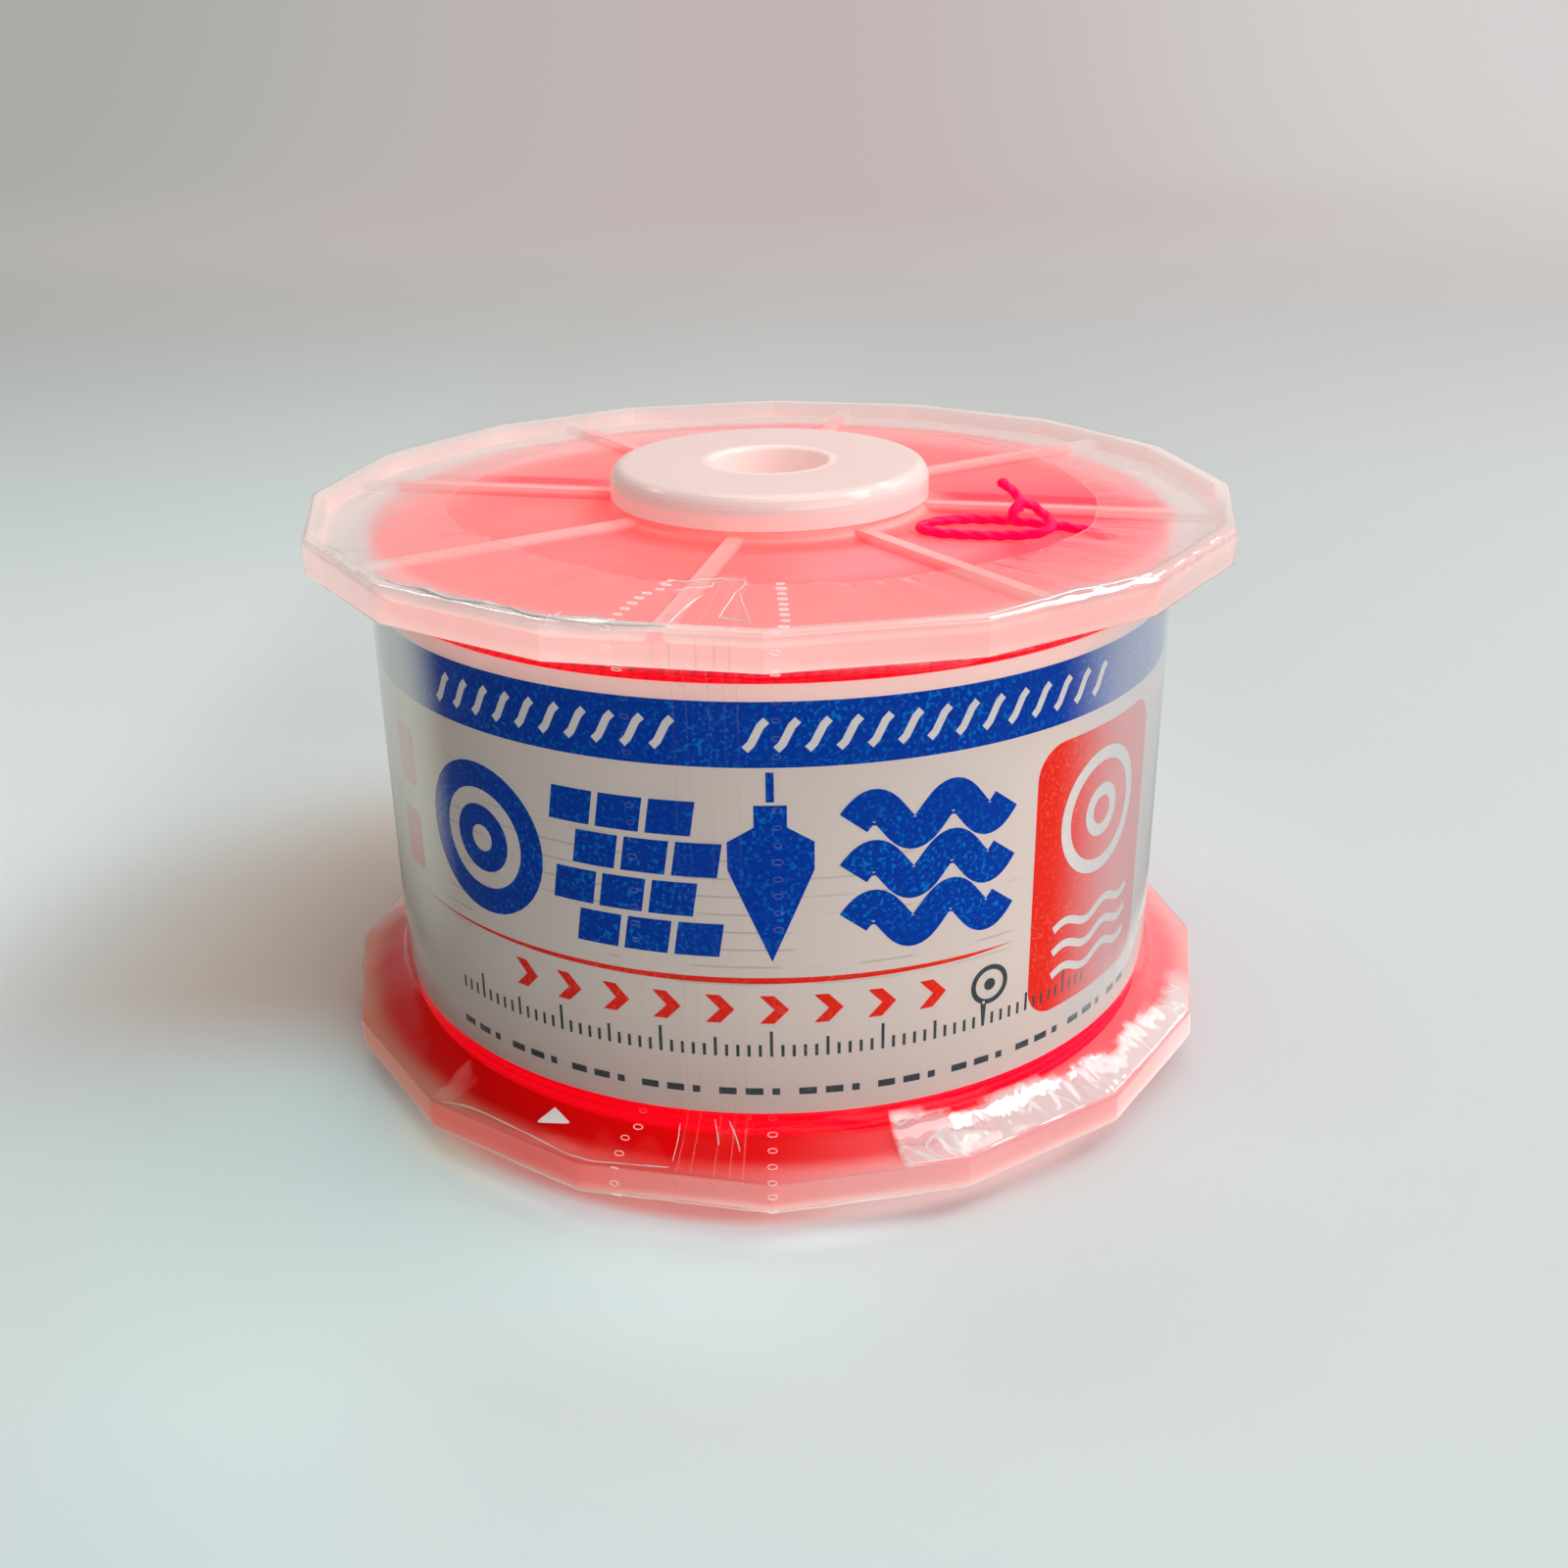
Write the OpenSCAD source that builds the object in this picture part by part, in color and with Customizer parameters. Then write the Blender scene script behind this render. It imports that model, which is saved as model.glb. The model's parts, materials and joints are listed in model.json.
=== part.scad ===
// Reel of builder's line: two moulded reel halves with ribbed sixteen-sided
// flanges, turning on a two-piece hollow finger hub, wound full of twisted
// line, with a paper label band and a clear shrink film over everything.
// Millimetres. The reel stands on its lower hub disc: Z = 0 is that disc's
// face, +Z is the reel's axis, and one corner of each flange lies on -Y.

/* [Flanges] */
// Flange size across opposite corners
flange_d = 92; // [86:1:120]
// Number of flange sides, two for each rib
flange_sides = 16; // [12:2:24]
// Thickness of the flange web beside the winding
web_t = 1.6; // [1.2:0.1:2.4]
// Height of the rim around the flange, web included
rim_h = 3.2; // [2.8:0.1:5]
// Wall thickness of the rim
rim_t = 1.4; // [1:0.1:3]
// Chamfer along the rim's outer edge
rim_edge = 0.3; // [0.1:0.05:0.5]
// Height of the ribs above the web
rib_h = 0.9; // [0.4:0.1:1.1]
// Width of a rib at its top
rib_w = 1.3; // [0.8:0.1:3]
// Extra width on each side of a rib at its foot
rib_draft = 0.25; // [0.1:0.05:0.6]
// How far the boss's top lies inside the edge of the hub disc
boss_inset = 0.4; // [0.2:0.1:1]
// How far the boss curves out past the hub disc at its foot
boss_flare = 1.4; // [0.6:0.1:3]

/* [Core] */
// Width of the winding space between the flanges
winding_w = 47.2; // [30:0.2:80]
// Outer diameter of the core tube
core_d = 38; // [32:0.5:44]
// Wall thickness of the core tube
core_wall = 1.6; // [1.2:0.1:2.5]
// Length of the lower half's register inside the core tube
register_l = 10; // [6:0.5:20]
// Wall thickness of the register and of the bearing sleeves
sleeve_wall = 1.8; // [1.2:0.1:2.2]
// Length of each bearing sleeve inside the core
sleeve_l = 7; // [4:0.5:10]

/* [Hub] */
// Diameter of the hole through the hub
bore_d = 11.5; // [8:0.1:12]
// Outer diameter of the hub shaft
shaft_d = 16; // [15:0.1:20]
// Diameter of each hub disc
disc_d = 31.8; // [28:0.2:36]
// Thickness of each hub disc
disc_t = 3.2; // [2.4:0.1:4]
// Width of the rounded edge of a disc
disc_edge_w = 1.4; // [0.6:0.1:2]
// Height of the rounded edge of a disc
disc_edge_h = 1.7; // [0.6:0.1:2]
// How far a disc's face stands out past the rim
hub_proud = 3; // [2.2:0.1:5]
// Length of the spigot that joins the two hub halves
spigot_l = 6; // [4:0.5:12]
// Radius that rounds the mouths of the hole
mouth_r = 0.5; // [0.2:0.1:0.8]

/* [Line] */
// Outer diameter of the winding
winding_d = 79.2; // [60:0.2:80]
// Radius that rounds the winding's outer edges
shoulder_r = 0.9; // [0.3:0.1:2]
// Diameter of the line
line_d = 0.8; // [0.6:0.1:1]
// Diameter of the hole that the inner end leaves by
tail_hole_d = 3; // [2.6:0.1:4]

/* [Label] */
// Bare winding between the lower flange and the label
label_low = 3; // [1.5:0.1:5]
// Bare winding between the label and the upper flange
label_high = 3.1; // [1.5:0.1:5]
// Thickness of the label
label_t = 0.2; // [0.1:0.05:0.3]
// Angle of the label's overlap at the back
label_lap = 14; // [6:1:30]

/* [Film] */
// Thickness of the shrink film
film_t = 0.1; // [0.08:0.01:0.15]
// Radius of the film's open mouth over each flange
film_mouth_r = 32; // [24:0.5:36]
// Height over which the film runs in from the rim to the label
film_run = 5; // [3:0.5:8]

/* [Fits] */
// Radial clearance between the shaft and its bearing sleeves
running_gap = 0.08; // [0.03:0.01:0.1]
// Axial play between each hub disc and its boss
end_float = 0.2; // [0.1:0.05:0.4]
// Clearance between pieces that are pushed or wrapped together
seat_gap = 0.05; // [0.03:0.01:0.08]

/* [Hidden] */
$fn = 96;
// Step of the angles along a rounded edge
round_step = 15;
// What a shape sinks into the one it joins, and what a cut runs past its face
eps = 0.01;
past = 1;

flange_r = flange_d / 2;
side_angle = 360 / flange_sides;
corner_to_flat = cos(side_angle / 2);
core_r = core_d / 2;
shaft_r = shaft_d / 2;
bore_r = bore_d / 2;
bearing_r = shaft_r + running_gap;
disc_r = disc_d / 2;
spigot_r = (bore_r + shaft_r) / 2;
boss_r = disc_r - boss_inset;
winding_r = winding_d / 2;
label_r = winding_r + seat_gap;

// Heights, from the standing face upwards
floor_z = hub_proud + rim_h;
ceiling_z = floor_z + winding_w;
overall_h = ceiling_z + floor_z;
middle_z = overall_h / 2;
boss_h = floor_z - web_t - disc_t - end_float;

// The inner end of the line: up through its hole, a long flat loop beside the
// hub, and a hitch that stands up over the loop, its end sticking out of the
// top. Points in millimetres, chosen by hand.
tail_hole = [31.2, -13.3];
tail_route = [[31.5, -13.5, 53.5], [31.5, -13.5, 54.0], [31.2, -13.3, 54.8],
              [30.5, -13.0, 55.3], [29.0, -12.5, 55.5], [27.2, -11.3, 55.5],
              [24.8, -10.0, 55.5], [21.9, -9.0, 55.5], [18.8, -8.6, 55.5],
              [16.1, -9.3, 55.5], [14.3, -11.3, 55.5], [15.7, -13.3, 55.5],
              [18.8, -14.3, 55.5], [21.9, -14.6, 55.5], [24.4, -15.7, 55.9],
              [26.0, -15.5, 56.4], [26.2, -13.9, 56.7], [25.5, -12.2, 57.1],
              [24.8, -11.5, 57.5], [23.8, -11.6, 57.8], [23.1, -12.1, 57.4],
              [22.8, -12.2, 56.8], [22.8, -11.8, 56.3], [23.1, -10.9, 56.3],
              [23.5, -9.6, 56.5], [24.1, -8.3, 56.6], [24.1, -7.1, 57.1],
              [23.5, -6.4, 57.7], [22.6, -6.2, 58.4]];
tail_steps = 3;
tail_sides = 8;

// How the film runs in from a rim to the label: share of the way out to the
// rim, and how far below the flange that is, as a share of film_run
film_curve = [[0, 1.2], [0.16, 0.45], [0.5, 0.16]];
film_steps = 4 * flange_sides;

// A regular outline with the flanges' sides and a corner on -Y
function corners(r) = [for (i = [0 : flange_sides - 1])
    [r * sin(i * side_angle), -r * cos(i * side_angle)]];

// Distance from the axis to that outline in the direction a
function outline_r(r, a) = r * corner_to_flat / cos(a % side_angle - side_angle / 2);

// A convex quarter round, w wide and h high, from [r, h] to [r - w, 0]
function quarter(r, w, h) = [for (a = [0 : round_step : 90])
    [r - w * (1 - cos(a)), h * (1 - sin(a))]];

module outline(r, h) linear_extrude(h) polygon(corners(r));

module tube(r, wall, h)
    difference() {
        cylinder(r = r, h = h);
        translate([0, 0, -past]) cylinder(r = r - wall, h = h + 2 * past);
    }

// ---- Hub ----------------------------------------------------------------

// Half a hub: the disc stands on Z = 0 with its rounded edge down, and the
// hollow shaft rises to shaft_top; its last spigot_l may be cut down to end_r
module hub_half(shaft_top, end_r) {
    mouth = [for (p = quarter(-bore_r, mouth_r, mouth_r)) [-p[0], p[1]]];
    shoulder = [[end_r, shaft_top - spigot_l], [shaft_r, shaft_top - spigot_l]];
    rotate_extrude()
        polygon(concat([[shaft_r, disc_t], [disc_r, disc_t]],
                       quarter(disc_r, disc_edge_w, disc_edge_h),
                       [for (i = [len(mouth) - 1 : -1 : 0]) mouth[i]],
                       [[bore_r, shaft_top], [end_r, shaft_top]],
                       end_r < shaft_r ? shoulder : []));
}

// Lower half, with the socket in its end
module hub_lower()
    color("MistyRose")
    difference() {
        hub_half(middle_z, shaft_r);
        translate([0, 0, middle_z - spigot_l - 2 * seat_gap])
            cylinder(r = spigot_r + seat_gap, h = spigot_l + past);
    }

// Upper half, turned over, with the spigot that fills the socket
module hub_upper()
    color("MistyRose")
    translate([0, 0, overall_h]) rotate([180, 0, 0])
        hub_half(overall_h - middle_z + spigot_l, spigot_r);

// ---- Reel ---------------------------------------------------------------

// One rib, a trapezoid bar on the web from under the boss into the rim
module rib() {
    foot_r = boss_r - rib_w;
    tip_r = flange_r * corner_to_flat - rim_t / 2;
    foot_w = rib_w + 2 * rib_draft;
    translate([0, -foot_r, 0]) rotate([90, 0, 0])
        linear_extrude(tip_r - foot_r)
            polygon([[-foot_w / 2, -eps], [foot_w / 2, -eps],
                     [rib_w / 2, rib_h], [-rib_w / 2, rib_h]]);
}

// The boss under a hub disc, curving out into the web
module boss() {
    foot_r = disc_r + boss_flare;
    run = foot_r - boss_r;
    rotate_extrude()
        polygon(concat([[bearing_r, -eps], [foot_r, -eps]],
                       [for (a = [0 : round_step : 90])
                           [foot_r - run * sin(a), boss_h * (1 - cos(a))]],
                       [[bearing_r, boss_h]]));
}

// What the chamfer takes off the rim's outer edge, one bar along each side
module rim_chamfer() {
    side = 2 * flange_r * sin(side_angle / 2);
    bar = rim_edge * sqrt(2);
    for (i = [0 : flange_sides - 1])
        rotate([0, 0, (i + 0.5) * side_angle])
            translate([0, -flange_r * corner_to_flat, rim_h])
                rotate([45, 0, 0]) cube([side + 2 * past, bar, bar], center = true);
}

// A flange lying on its inner face: web, rim, ribs, boss, and the bearing
// sleeve that reaches down into the core
module flange() {
    difference() {
        union() {
            outline(flange_r, web_t);
            difference() {
                outline(flange_r, rim_h);
                translate([0, 0, -past])
                    outline(flange_r - rim_t / corner_to_flat, rim_h + 2 * past);
            }
            for (i = [0 : flange_sides / 2 - 1])
                rotate([0, 0, (2 * i - 0.5) * side_angle]) translate([0, 0, web_t]) rib();
            translate([0, 0, web_t]) boss();
            translate([0, 0, -sleeve_l])
                cylinder(r = bearing_r + sleeve_wall, h = sleeve_l + web_t);
        }
        rim_chamfer();
        translate([0, 0, -sleeve_l - past])
            cylinder(r = bearing_r, h = sleeve_l + web_t + boss_h + 2 * past);
    }
}

// Upper half: the flange with the core tube hanging from it, and the hole for
// the line's inner end
module upper_reel_half()
    color("LightPink", 0.8) {
        difference() {
            translate([0, 0, ceiling_z]) flange();
            translate([tail_hole[0], tail_hole[1], ceiling_z - past])
                cylinder(d = tail_hole_d, h = web_t + rib_h + 2 * past);
        }
        translate([0, 0, floor_z]) tube(core_r, core_wall, winding_w);
    }

// Lower half: the same flange turned over, with the register that the core
// tube slides over
module lower_reel_half()
    color("LightPink", 0.8)
    translate([0, 0, floor_z]) {
        rotate([180, 0, 0]) flange();
        tube(core_r - core_wall - seat_gap, sleeve_wall, register_l);
    }

// ---- Line ---------------------------------------------------------------

// The full winding, with rounded outer edges
module line_winding() {
    low = floor_z + seat_gap;
    high = ceiling_z - seat_gap;
    foot = quarter(winding_r, shoulder_r, shoulder_r);
    color("DeepPink")
    rotate_extrude()
        polygon(concat([[core_r + seat_gap, high], [core_r + seat_gap, low]],
                       [for (i = [len(foot) - 1 : -1 : 0]) foot[i] + [0, low]],
                       [for (p = foot) [p[0], high - p[1]]]));
}

// A smooth curve through the route's points, and the frames carried along it
function smooth(p, i, t) = let (
        a = p[max(i - 1, 0)], b = p[i], c = p[i + 1], d = p[min(i + 2, len(p) - 1)])
    0.5 * (2 * b + (c - a) * t + (2 * a - 5 * b + 4 * c - d) * t * t
           + (3 * b - a - 3 * c + d) * t * t * t);
function along(p, steps) = concat(
    [for (i = [0 : len(p) - 2], s = [0 : steps - 1]) smooth(p, i, s / steps)],
    [p[len(p) - 1]]);
function unit(v) = v / norm(v);
function heading(c, i) = unit(c[min(i + 1, len(c) - 1)] - c[max(i - 1, 0)]);
function carried(c, i, side) = i >= len(c) ? [] :
    let (t = heading(c, i), s = unit(side - (side * t) * t))
    concat([s], carried(c, i + 1, s));

// A round tube swept along the curve c
module sweep(c, r, sides) {
    across = carried(c, 0, [1, 0, 0]);
    rings = len(c);
    points = [for (i = [0 : rings - 1]) let (s = across[i], u = cross(heading(c, i), s))
        for (k = [0 : sides - 1])
            c[i] + r * (cos(360 * k / sides) * s + sin(360 * k / sides) * u)];
    walls = [for (i = [0 : rings - 2], k = [0 : sides - 1]) let (
            a = i * sides + k, b = i * sides + (k + 1) % sides)
        each [[a, a + sides, b], [b, a + sides, b + sides]]];
    first = [for (k = [0 : sides - 1]) k];
    last = [for (k = [sides - 1 : -1 : 0]) (rings - 1) * sides + k];
    polyhedron(points, concat(walls, [first], [last]));
}

// The line's inner end
module line_tail()
    color("MediumVioletRed") sweep(along(tail_route, tail_steps), line_d / 2, tail_sides);

// ---- Wrapping -----------------------------------------------------------

// The label band, its end lapped over its start at the back
module label_band() {
    label_h = winding_w - label_low - label_high;
    lap_t = label_t / 2;
    color("Ivory")
    translate([0, 0, floor_z + label_low]) {
        tube(label_r + label_t, label_t, label_h);
        rotate([0, 0, 90 - label_lap / 2])
            rotate_extrude(angle = label_lap)
                translate([label_r + label_t - eps, 0]) square([lap_t + eps, label_h]);
    }
}

// The shrink film: a closed skin lofted from the flanges' corners to the round
// label, open in a mouth over each flange
module shrink_film() {
    lap_r = label_r + 1.5 * label_t;
    lie_r = (lap_r + seat_gap) / cos(180 / film_steps);
    half_w = winding_w / 2;
    face = half_w + rim_h + seat_gap;
    // From mid height up: [share of the way out to the flange's outline, radius
    // on the round, height above the middle, thickness outwards, and upwards]
    path = concat([for (p = film_curve) [p[0], lie_r, half_w - p[1] * film_run, film_t, -p[0] * film_t]],
                  [[1, lie_r, half_w - seat_gap, film_t, -film_t],
                   [1, lie_r, face, film_t, film_t],
                   [0, film_mouth_r, face, 0, film_t]]);
    n = len(path);
    function flip(p) = [p[0], p[1], -p[2], p[3], -p[4]];
    function spot(p, a, t) = let (
            r = p[1] + p[0] * (outline_r(flange_r, a) + seat_gap - p[1]) + t * p[3])
        [r * sin(a), -r * cos(a), middle_z + p[2] + t * p[4]];
    // Down the inside from the upper mouth to the lower one, then back up outside
    down = concat([for (i = [n - 1 : -1 : 0]) path[i]], [for (p = path) flip(p)]);
    m = 4 * n;
    points = [for (s = [0 : film_steps - 1]) let (a = 360 * s / film_steps)
        each concat([for (p = down) spot(p, a, 0)],
                    [for (i = [2 * n - 1 : -1 : 0]) spot(down[i], a, 1)])];
    faces = [for (s = [0 : film_steps - 1], k = [0 : m - 1]) let (
            next = (s + 1) % film_steps, up = (k + 1) % m,
            a = s * m + k, b = s * m + up, c = next * m + k, d = next * m + up)
        each [[a, b, c], [c, b, d]]];
    color("White", 0.25) polyhedron(points, faces);
}

hub_lower();
hub_upper();
lower_reel_half();
upper_reel_half();
line_winding();
line_tail();
label_band();
shrink_film();
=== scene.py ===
# %% [markdown]
# # A shrink-wrapped reel of builder's line
#
# The reel has two moulded halves of milky plastic with sixteen-sided ribbed
# flanges. They turn on a hollow two-piece finger hub. Between the flanges lies
# a full winding of bright twisted line, with a printed paper band round it,
# and a clear shrink film covers everything but the middle of each flange. The
# plastic pieces come from the CAD model and only get a finish here. The line,
# the paper, the print and the film are too fine for the CAD model, so they are
# made in this file and stand in for its plain solids.

# %% Load the CAD model
import json
import math

import bmesh
import bpy
import numpy as np
from mathutils import Matrix, Vector, noise

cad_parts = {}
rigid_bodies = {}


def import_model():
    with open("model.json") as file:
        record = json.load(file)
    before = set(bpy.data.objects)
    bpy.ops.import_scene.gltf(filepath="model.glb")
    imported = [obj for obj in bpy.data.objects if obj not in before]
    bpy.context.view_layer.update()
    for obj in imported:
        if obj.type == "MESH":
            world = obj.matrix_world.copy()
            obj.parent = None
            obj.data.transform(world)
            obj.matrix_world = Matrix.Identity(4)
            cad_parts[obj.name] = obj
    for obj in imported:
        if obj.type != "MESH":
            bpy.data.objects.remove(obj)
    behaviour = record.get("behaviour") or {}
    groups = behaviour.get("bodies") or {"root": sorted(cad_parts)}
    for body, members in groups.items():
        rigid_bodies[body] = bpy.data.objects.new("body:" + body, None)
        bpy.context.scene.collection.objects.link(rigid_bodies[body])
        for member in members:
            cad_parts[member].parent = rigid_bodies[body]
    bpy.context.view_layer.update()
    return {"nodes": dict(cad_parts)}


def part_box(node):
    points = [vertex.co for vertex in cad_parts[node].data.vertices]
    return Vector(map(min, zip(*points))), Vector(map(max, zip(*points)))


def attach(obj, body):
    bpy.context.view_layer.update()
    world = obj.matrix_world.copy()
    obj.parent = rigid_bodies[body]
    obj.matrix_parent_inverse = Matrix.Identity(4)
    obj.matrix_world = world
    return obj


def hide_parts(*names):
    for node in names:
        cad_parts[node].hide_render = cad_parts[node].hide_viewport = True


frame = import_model()
mm = 0.001
print("CAD nodes:", sorted(frame["nodes"]))

# %% [markdown]
# ## The camera
#
# The reel is looked at from the front and a little above, from about 20 cm
# away, so near edges look clearly larger than far ones. A camera is placed
# best by where it stands and which way it looks: a turn about the upright axis,
# a dip below the horizon and a slight roll.

# %% Place the camera
eye = Vector((2.489, -169.318, 97.832)) * mm
turn, dip, roll = -0.0085, 0.40992, -0.01264

ahead = Vector((math.sin(turn) * math.cos(dip), math.cos(turn) * math.cos(dip), -math.sin(dip)))
level = Vector((math.cos(turn), -math.sin(turn), 0))
above = level.cross(ahead)
right = level * math.cos(roll) + above * math.sin(roll)
upward = above * math.cos(roll) - level * math.sin(roll)

camera = bpy.data.objects.new("camera", bpy.data.cameras.new("camera"))
bpy.context.scene.collection.objects.link(camera)
camera.matrix_world = Matrix.Translation(eye) @ Matrix((right, upward, -ahead)).transposed().to_4x4()
camera.data.sensor_width = 36
camera.data.lens = 39.29
camera.data.clip_start, camera.data.clip_end = 0.01, 20
bpy.context.scene.camera = camera
print("camera", round(eye.length / mm), "mm from the foot of the reel")

# %% [markdown]
# ## Sizes shared by the pieces
#
# What is made here has to sit on the CAD solids, so the main radii and heights
# are read from the boxes of the CAD nodes and are written nowhere else. Angles
# run from the front of the reel, -Y, towards the right, +X.

# %% Read the sizes
sides = 16
flange_r, _, rim_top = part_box("upper_reel_half")[1]
winding_low, winding_high = (corner.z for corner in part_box("line_winding"))
winding_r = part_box("line_winding")[1].x
label_low, label_high = (corner.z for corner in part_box("label_band"))
middle = (winding_low + winding_high) / 2
ceiling = winding_high + 0.05 * mm
core_r = 19.05 * mm
line_r = 0.42 * mm


def on_round(angle, radius, z):
    """The point at that angle from the front, distance from the axis and height."""
    return Vector((radius * math.sin(angle), -radius * math.cos(angle), z))


def outline(angle, radius=flange_r):
    """Distance from the axis to the sixteen-sided outline in one direction."""
    half = math.pi / sides
    return radius * math.cos(half) / math.cos(angle % (2 * half) - half)


print(f"flange {flange_r / mm:.1f}, winding {winding_r / mm:.1f}, middle {middle / mm:.1f} mm")

# %% [markdown]
# ## Small helpers for meshes
#
# Every finished piece is a plain mesh whose object stays at the origin. These
# helpers turn lists of points and faces into such a piece, put rows and rings of
# points into faces, and turn what a modifier makes into a plain mesh.

# %% Mesh helpers
def piece(name, points, faces, material=None, smooth=True):
    """A new mesh object with smooth or flat faces."""
    mesh = bpy.data.meshes.new(name)
    mesh.from_pydata([tuple(p) for p in points], [], faces)
    obj = bpy.data.objects.new(name, mesh)
    bpy.context.scene.collection.objects.link(obj)
    if material:
        mesh.materials.append(material)
    mesh.update()
    return shade(obj, smooth)


def shade(obj, smooth=True):
    """Sets all faces of a piece smooth or flat."""
    obj.data.polygons.foreach_set("use_smooth", [smooth] * len(obj.data.polygons))
    return obj


def grid_faces(columns, rows, closed=False, tube=False, first=0):
    """Quads between points listed column by column, with rows points in each. In a closed grid
    the last column joins the first one, and in a tube the last row does."""
    return [tuple(first + c % columns * rows + r % rows
                  for c, r in ((i, k), (i, k + 1), (i + 1, k + 1), (i + 1, k)))
            for i in range(columns if closed else columns - 1)
            for k in range(rows if tube else rows - 1)]


def ring_faces(count, around, closed=False, first=0):
    """Faces of a tube of rings of points; it is closed on itself or capped at both ends."""
    faces = grid_faces(count, around, closed, True, first)
    if not closed:
        last = first + (count - 1) * around
        faces += [tuple(reversed(range(first, first + around))), tuple(range(last, last + around))]
    return faces


def made_plain(obj):
    """The mesh that an object gives with its modifiers applied."""
    return bpy.data.meshes.new_from_object(obj.evaluated_get(bpy.context.evaluated_depsgraph_get()))


def make_plain(obj):
    """Bakes the modifiers of an object into its mesh and removes them."""
    made = made_plain(obj)
    obj.modifiers.clear()
    old, obj.data = obj.data, made
    made.name = obj.name
    bpy.data.meshes.remove(old)
    print(f"{obj.name}: {len(made.polygons)} faces")
    return obj


# %% [markdown]
# ## Small helpers for finishes
#
# A material is a graph of nodes. `Finish` starts an empty one. Its `add` makes a
# node, sets plain values on its sockets and links the others. Most colours here
# depend on the place on the reel: `zone` gives the share of a colour at each
# place and `layers` lays such colours over each other, so a finish reads as a
# short list of coats.

# %% Node helpers
def add_node(tree, kind, inputs, settings):
    """A node in a tree; inputs are plain values or other nodes' sockets, by name or number."""
    node = tree.nodes.new(kind)
    for key, value in settings.items():
        setattr(node, key, value)
    for key, value in (inputs or {}).items():
        socket = node.inputs[key]
        if isinstance(value, bpy.types.NodeSocket):
            tree.links.new(value, socket)
        else:
            socket.default_value = (*value, 1) if socket.type == "RGBA" else value
    return node


class Graph:
    """The shader nodes of a material or of the world."""

    def __init__(self, tree):
        self.tree = tree
        tree.nodes.clear()

    def add(self, kind, inputs=None, **settings):
        """Adds a node and returns its outputs."""
        return add_node(self.tree, "ShaderNode" + kind, inputs, settings).outputs

    def maths(self, operation, *values):
        """A Math node's result."""
        return self.add("Math", dict(enumerate(values)), operation=operation)[0]

    def times(self, *values):
        """The product of all the values."""
        product = values[0]
        for value in values[1:]:
            product = self.maths("MULTIPLY", product, value)
        return product

    def ramp(self, value, low, high, to_low=0.0, to_high=1.0, kind="LINEAR"):
        """A value that runs from to_low to to_high while another runs from low to high."""
        return self.add("MapRange", {0: value, 1: low, 2: high, 3: to_low, 4: to_high},
                        interpolation_type=kind)[0]

    def fade(self, *values):
        """A ramp with soft ends."""
        return self.ramp(*values, kind="SMOOTHSTEP")

    def blend(self, factor, first, second):
        """A mix of two colours."""
        return self.add("Mix", {0: factor, 6: first, 7: second}, data_type="RGBA")[2]

    def mix(self, factor, first, second):
        """A mix of two shaders."""
        return self.add("MixShader", {0: factor, 1: first, 2: second})[0]


class Finish(Graph):
    """A material, with the place of each point in the reel's own frame."""

    def __init__(self, name):
        self.material = bpy.data.materials.new(name)
        self.material.use_nodes = True
        super().__init__(self.material.node_tree)
        self.place = self.add("TexCoord")["Object"]
        self.x, self.y, self.z = self.add("SeparateXYZ", {0: self.place})
        flat = self.add("CombineXYZ", {0: self.x, 1: self.y})[0]
        self.r = self.add("VectorMath", {0: flat}, operation="LENGTH")["Value"]

    def zone(self, **spans):
        """The share of something at a place. A span is named x, y, z or r, the distance from the
        axis. It holds two places in millimetres and the shares there, if they aren't 0 and 1."""
        return self.times(*(self.fade(getattr(self, axis), low * mm, high * mm, *shares)
                            for axis, (low, high, *shares) in spans.items()))

    def layers(self, colour, *coats):
        """A colour with coats over it, each a share and a colour."""
        for share, coat in coats:
            colour = self.blend(share, colour, coat)
        return colour

    def noise(self, scale, detail=3.0):
        """A noise value; scale is in features for each metre."""
        return self.add("TexNoise", {"Vector": self.place, "Scale": scale, "Detail": detail})[0]

    def bump(self, height, strength, distance):
        """A normal that follows a height."""
        return self.add("Bump", {"Height": height, "Strength": strength, "Distance": distance})[0]

    def show(self, surface):
        """Ends the graph and returns the material."""
        self.add("OutputMaterial", {"Surface": surface})
        return self.material


print("helpers ready")

# %% [markdown]
# ## The line's loose inner end
#
# The winding starts at the core, and its first end is pulled up through a small
# hole in the upper flange. There it lies in a long flat loop beside the hub,
# with a hitch that stands up over the loop and the cut end sticking out of its
# top. The line is a cord of three twisted strands, and from close by the twist
# is its main feature, so the mesh is a tube with three lobes that turn round
# the route.

# %% The route of the loose end
route = [(31.5, -13.5, 53.5), (31.5, -13.5, 54.0), (31.2, -13.3, 54.8), (30.5, -13.0, 55.3),
         (29.0, -12.5, 55.5), (27.2, -11.3, 55.5), (24.8, -10.0, 55.5), (21.9, -9.0, 55.5),
         (18.8, -8.6, 55.5), (16.1, -9.3, 55.5), (14.3, -11.3, 55.5), (15.7, -13.3, 55.5),
         (18.8, -14.3, 55.5), (21.9, -14.6, 55.5), (24.4, -15.7, 55.9), (26.0, -15.5, 56.4),
         (26.2, -13.9, 56.7), (25.5, -12.2, 57.1), (24.8, -11.5, 57.5), (23.8, -11.6, 57.8),
         (23.1, -12.1, 57.4), (22.8, -12.2, 56.8), (22.8, -11.8, 56.3), (23.1, -10.9, 56.3),
         (23.5, -9.6, 56.5), (24.1, -8.3, 56.6), (24.1, -7.1, 57.1), (23.5, -6.4, 57.7),
         (22.6, -6.2, 58.4)]


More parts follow.
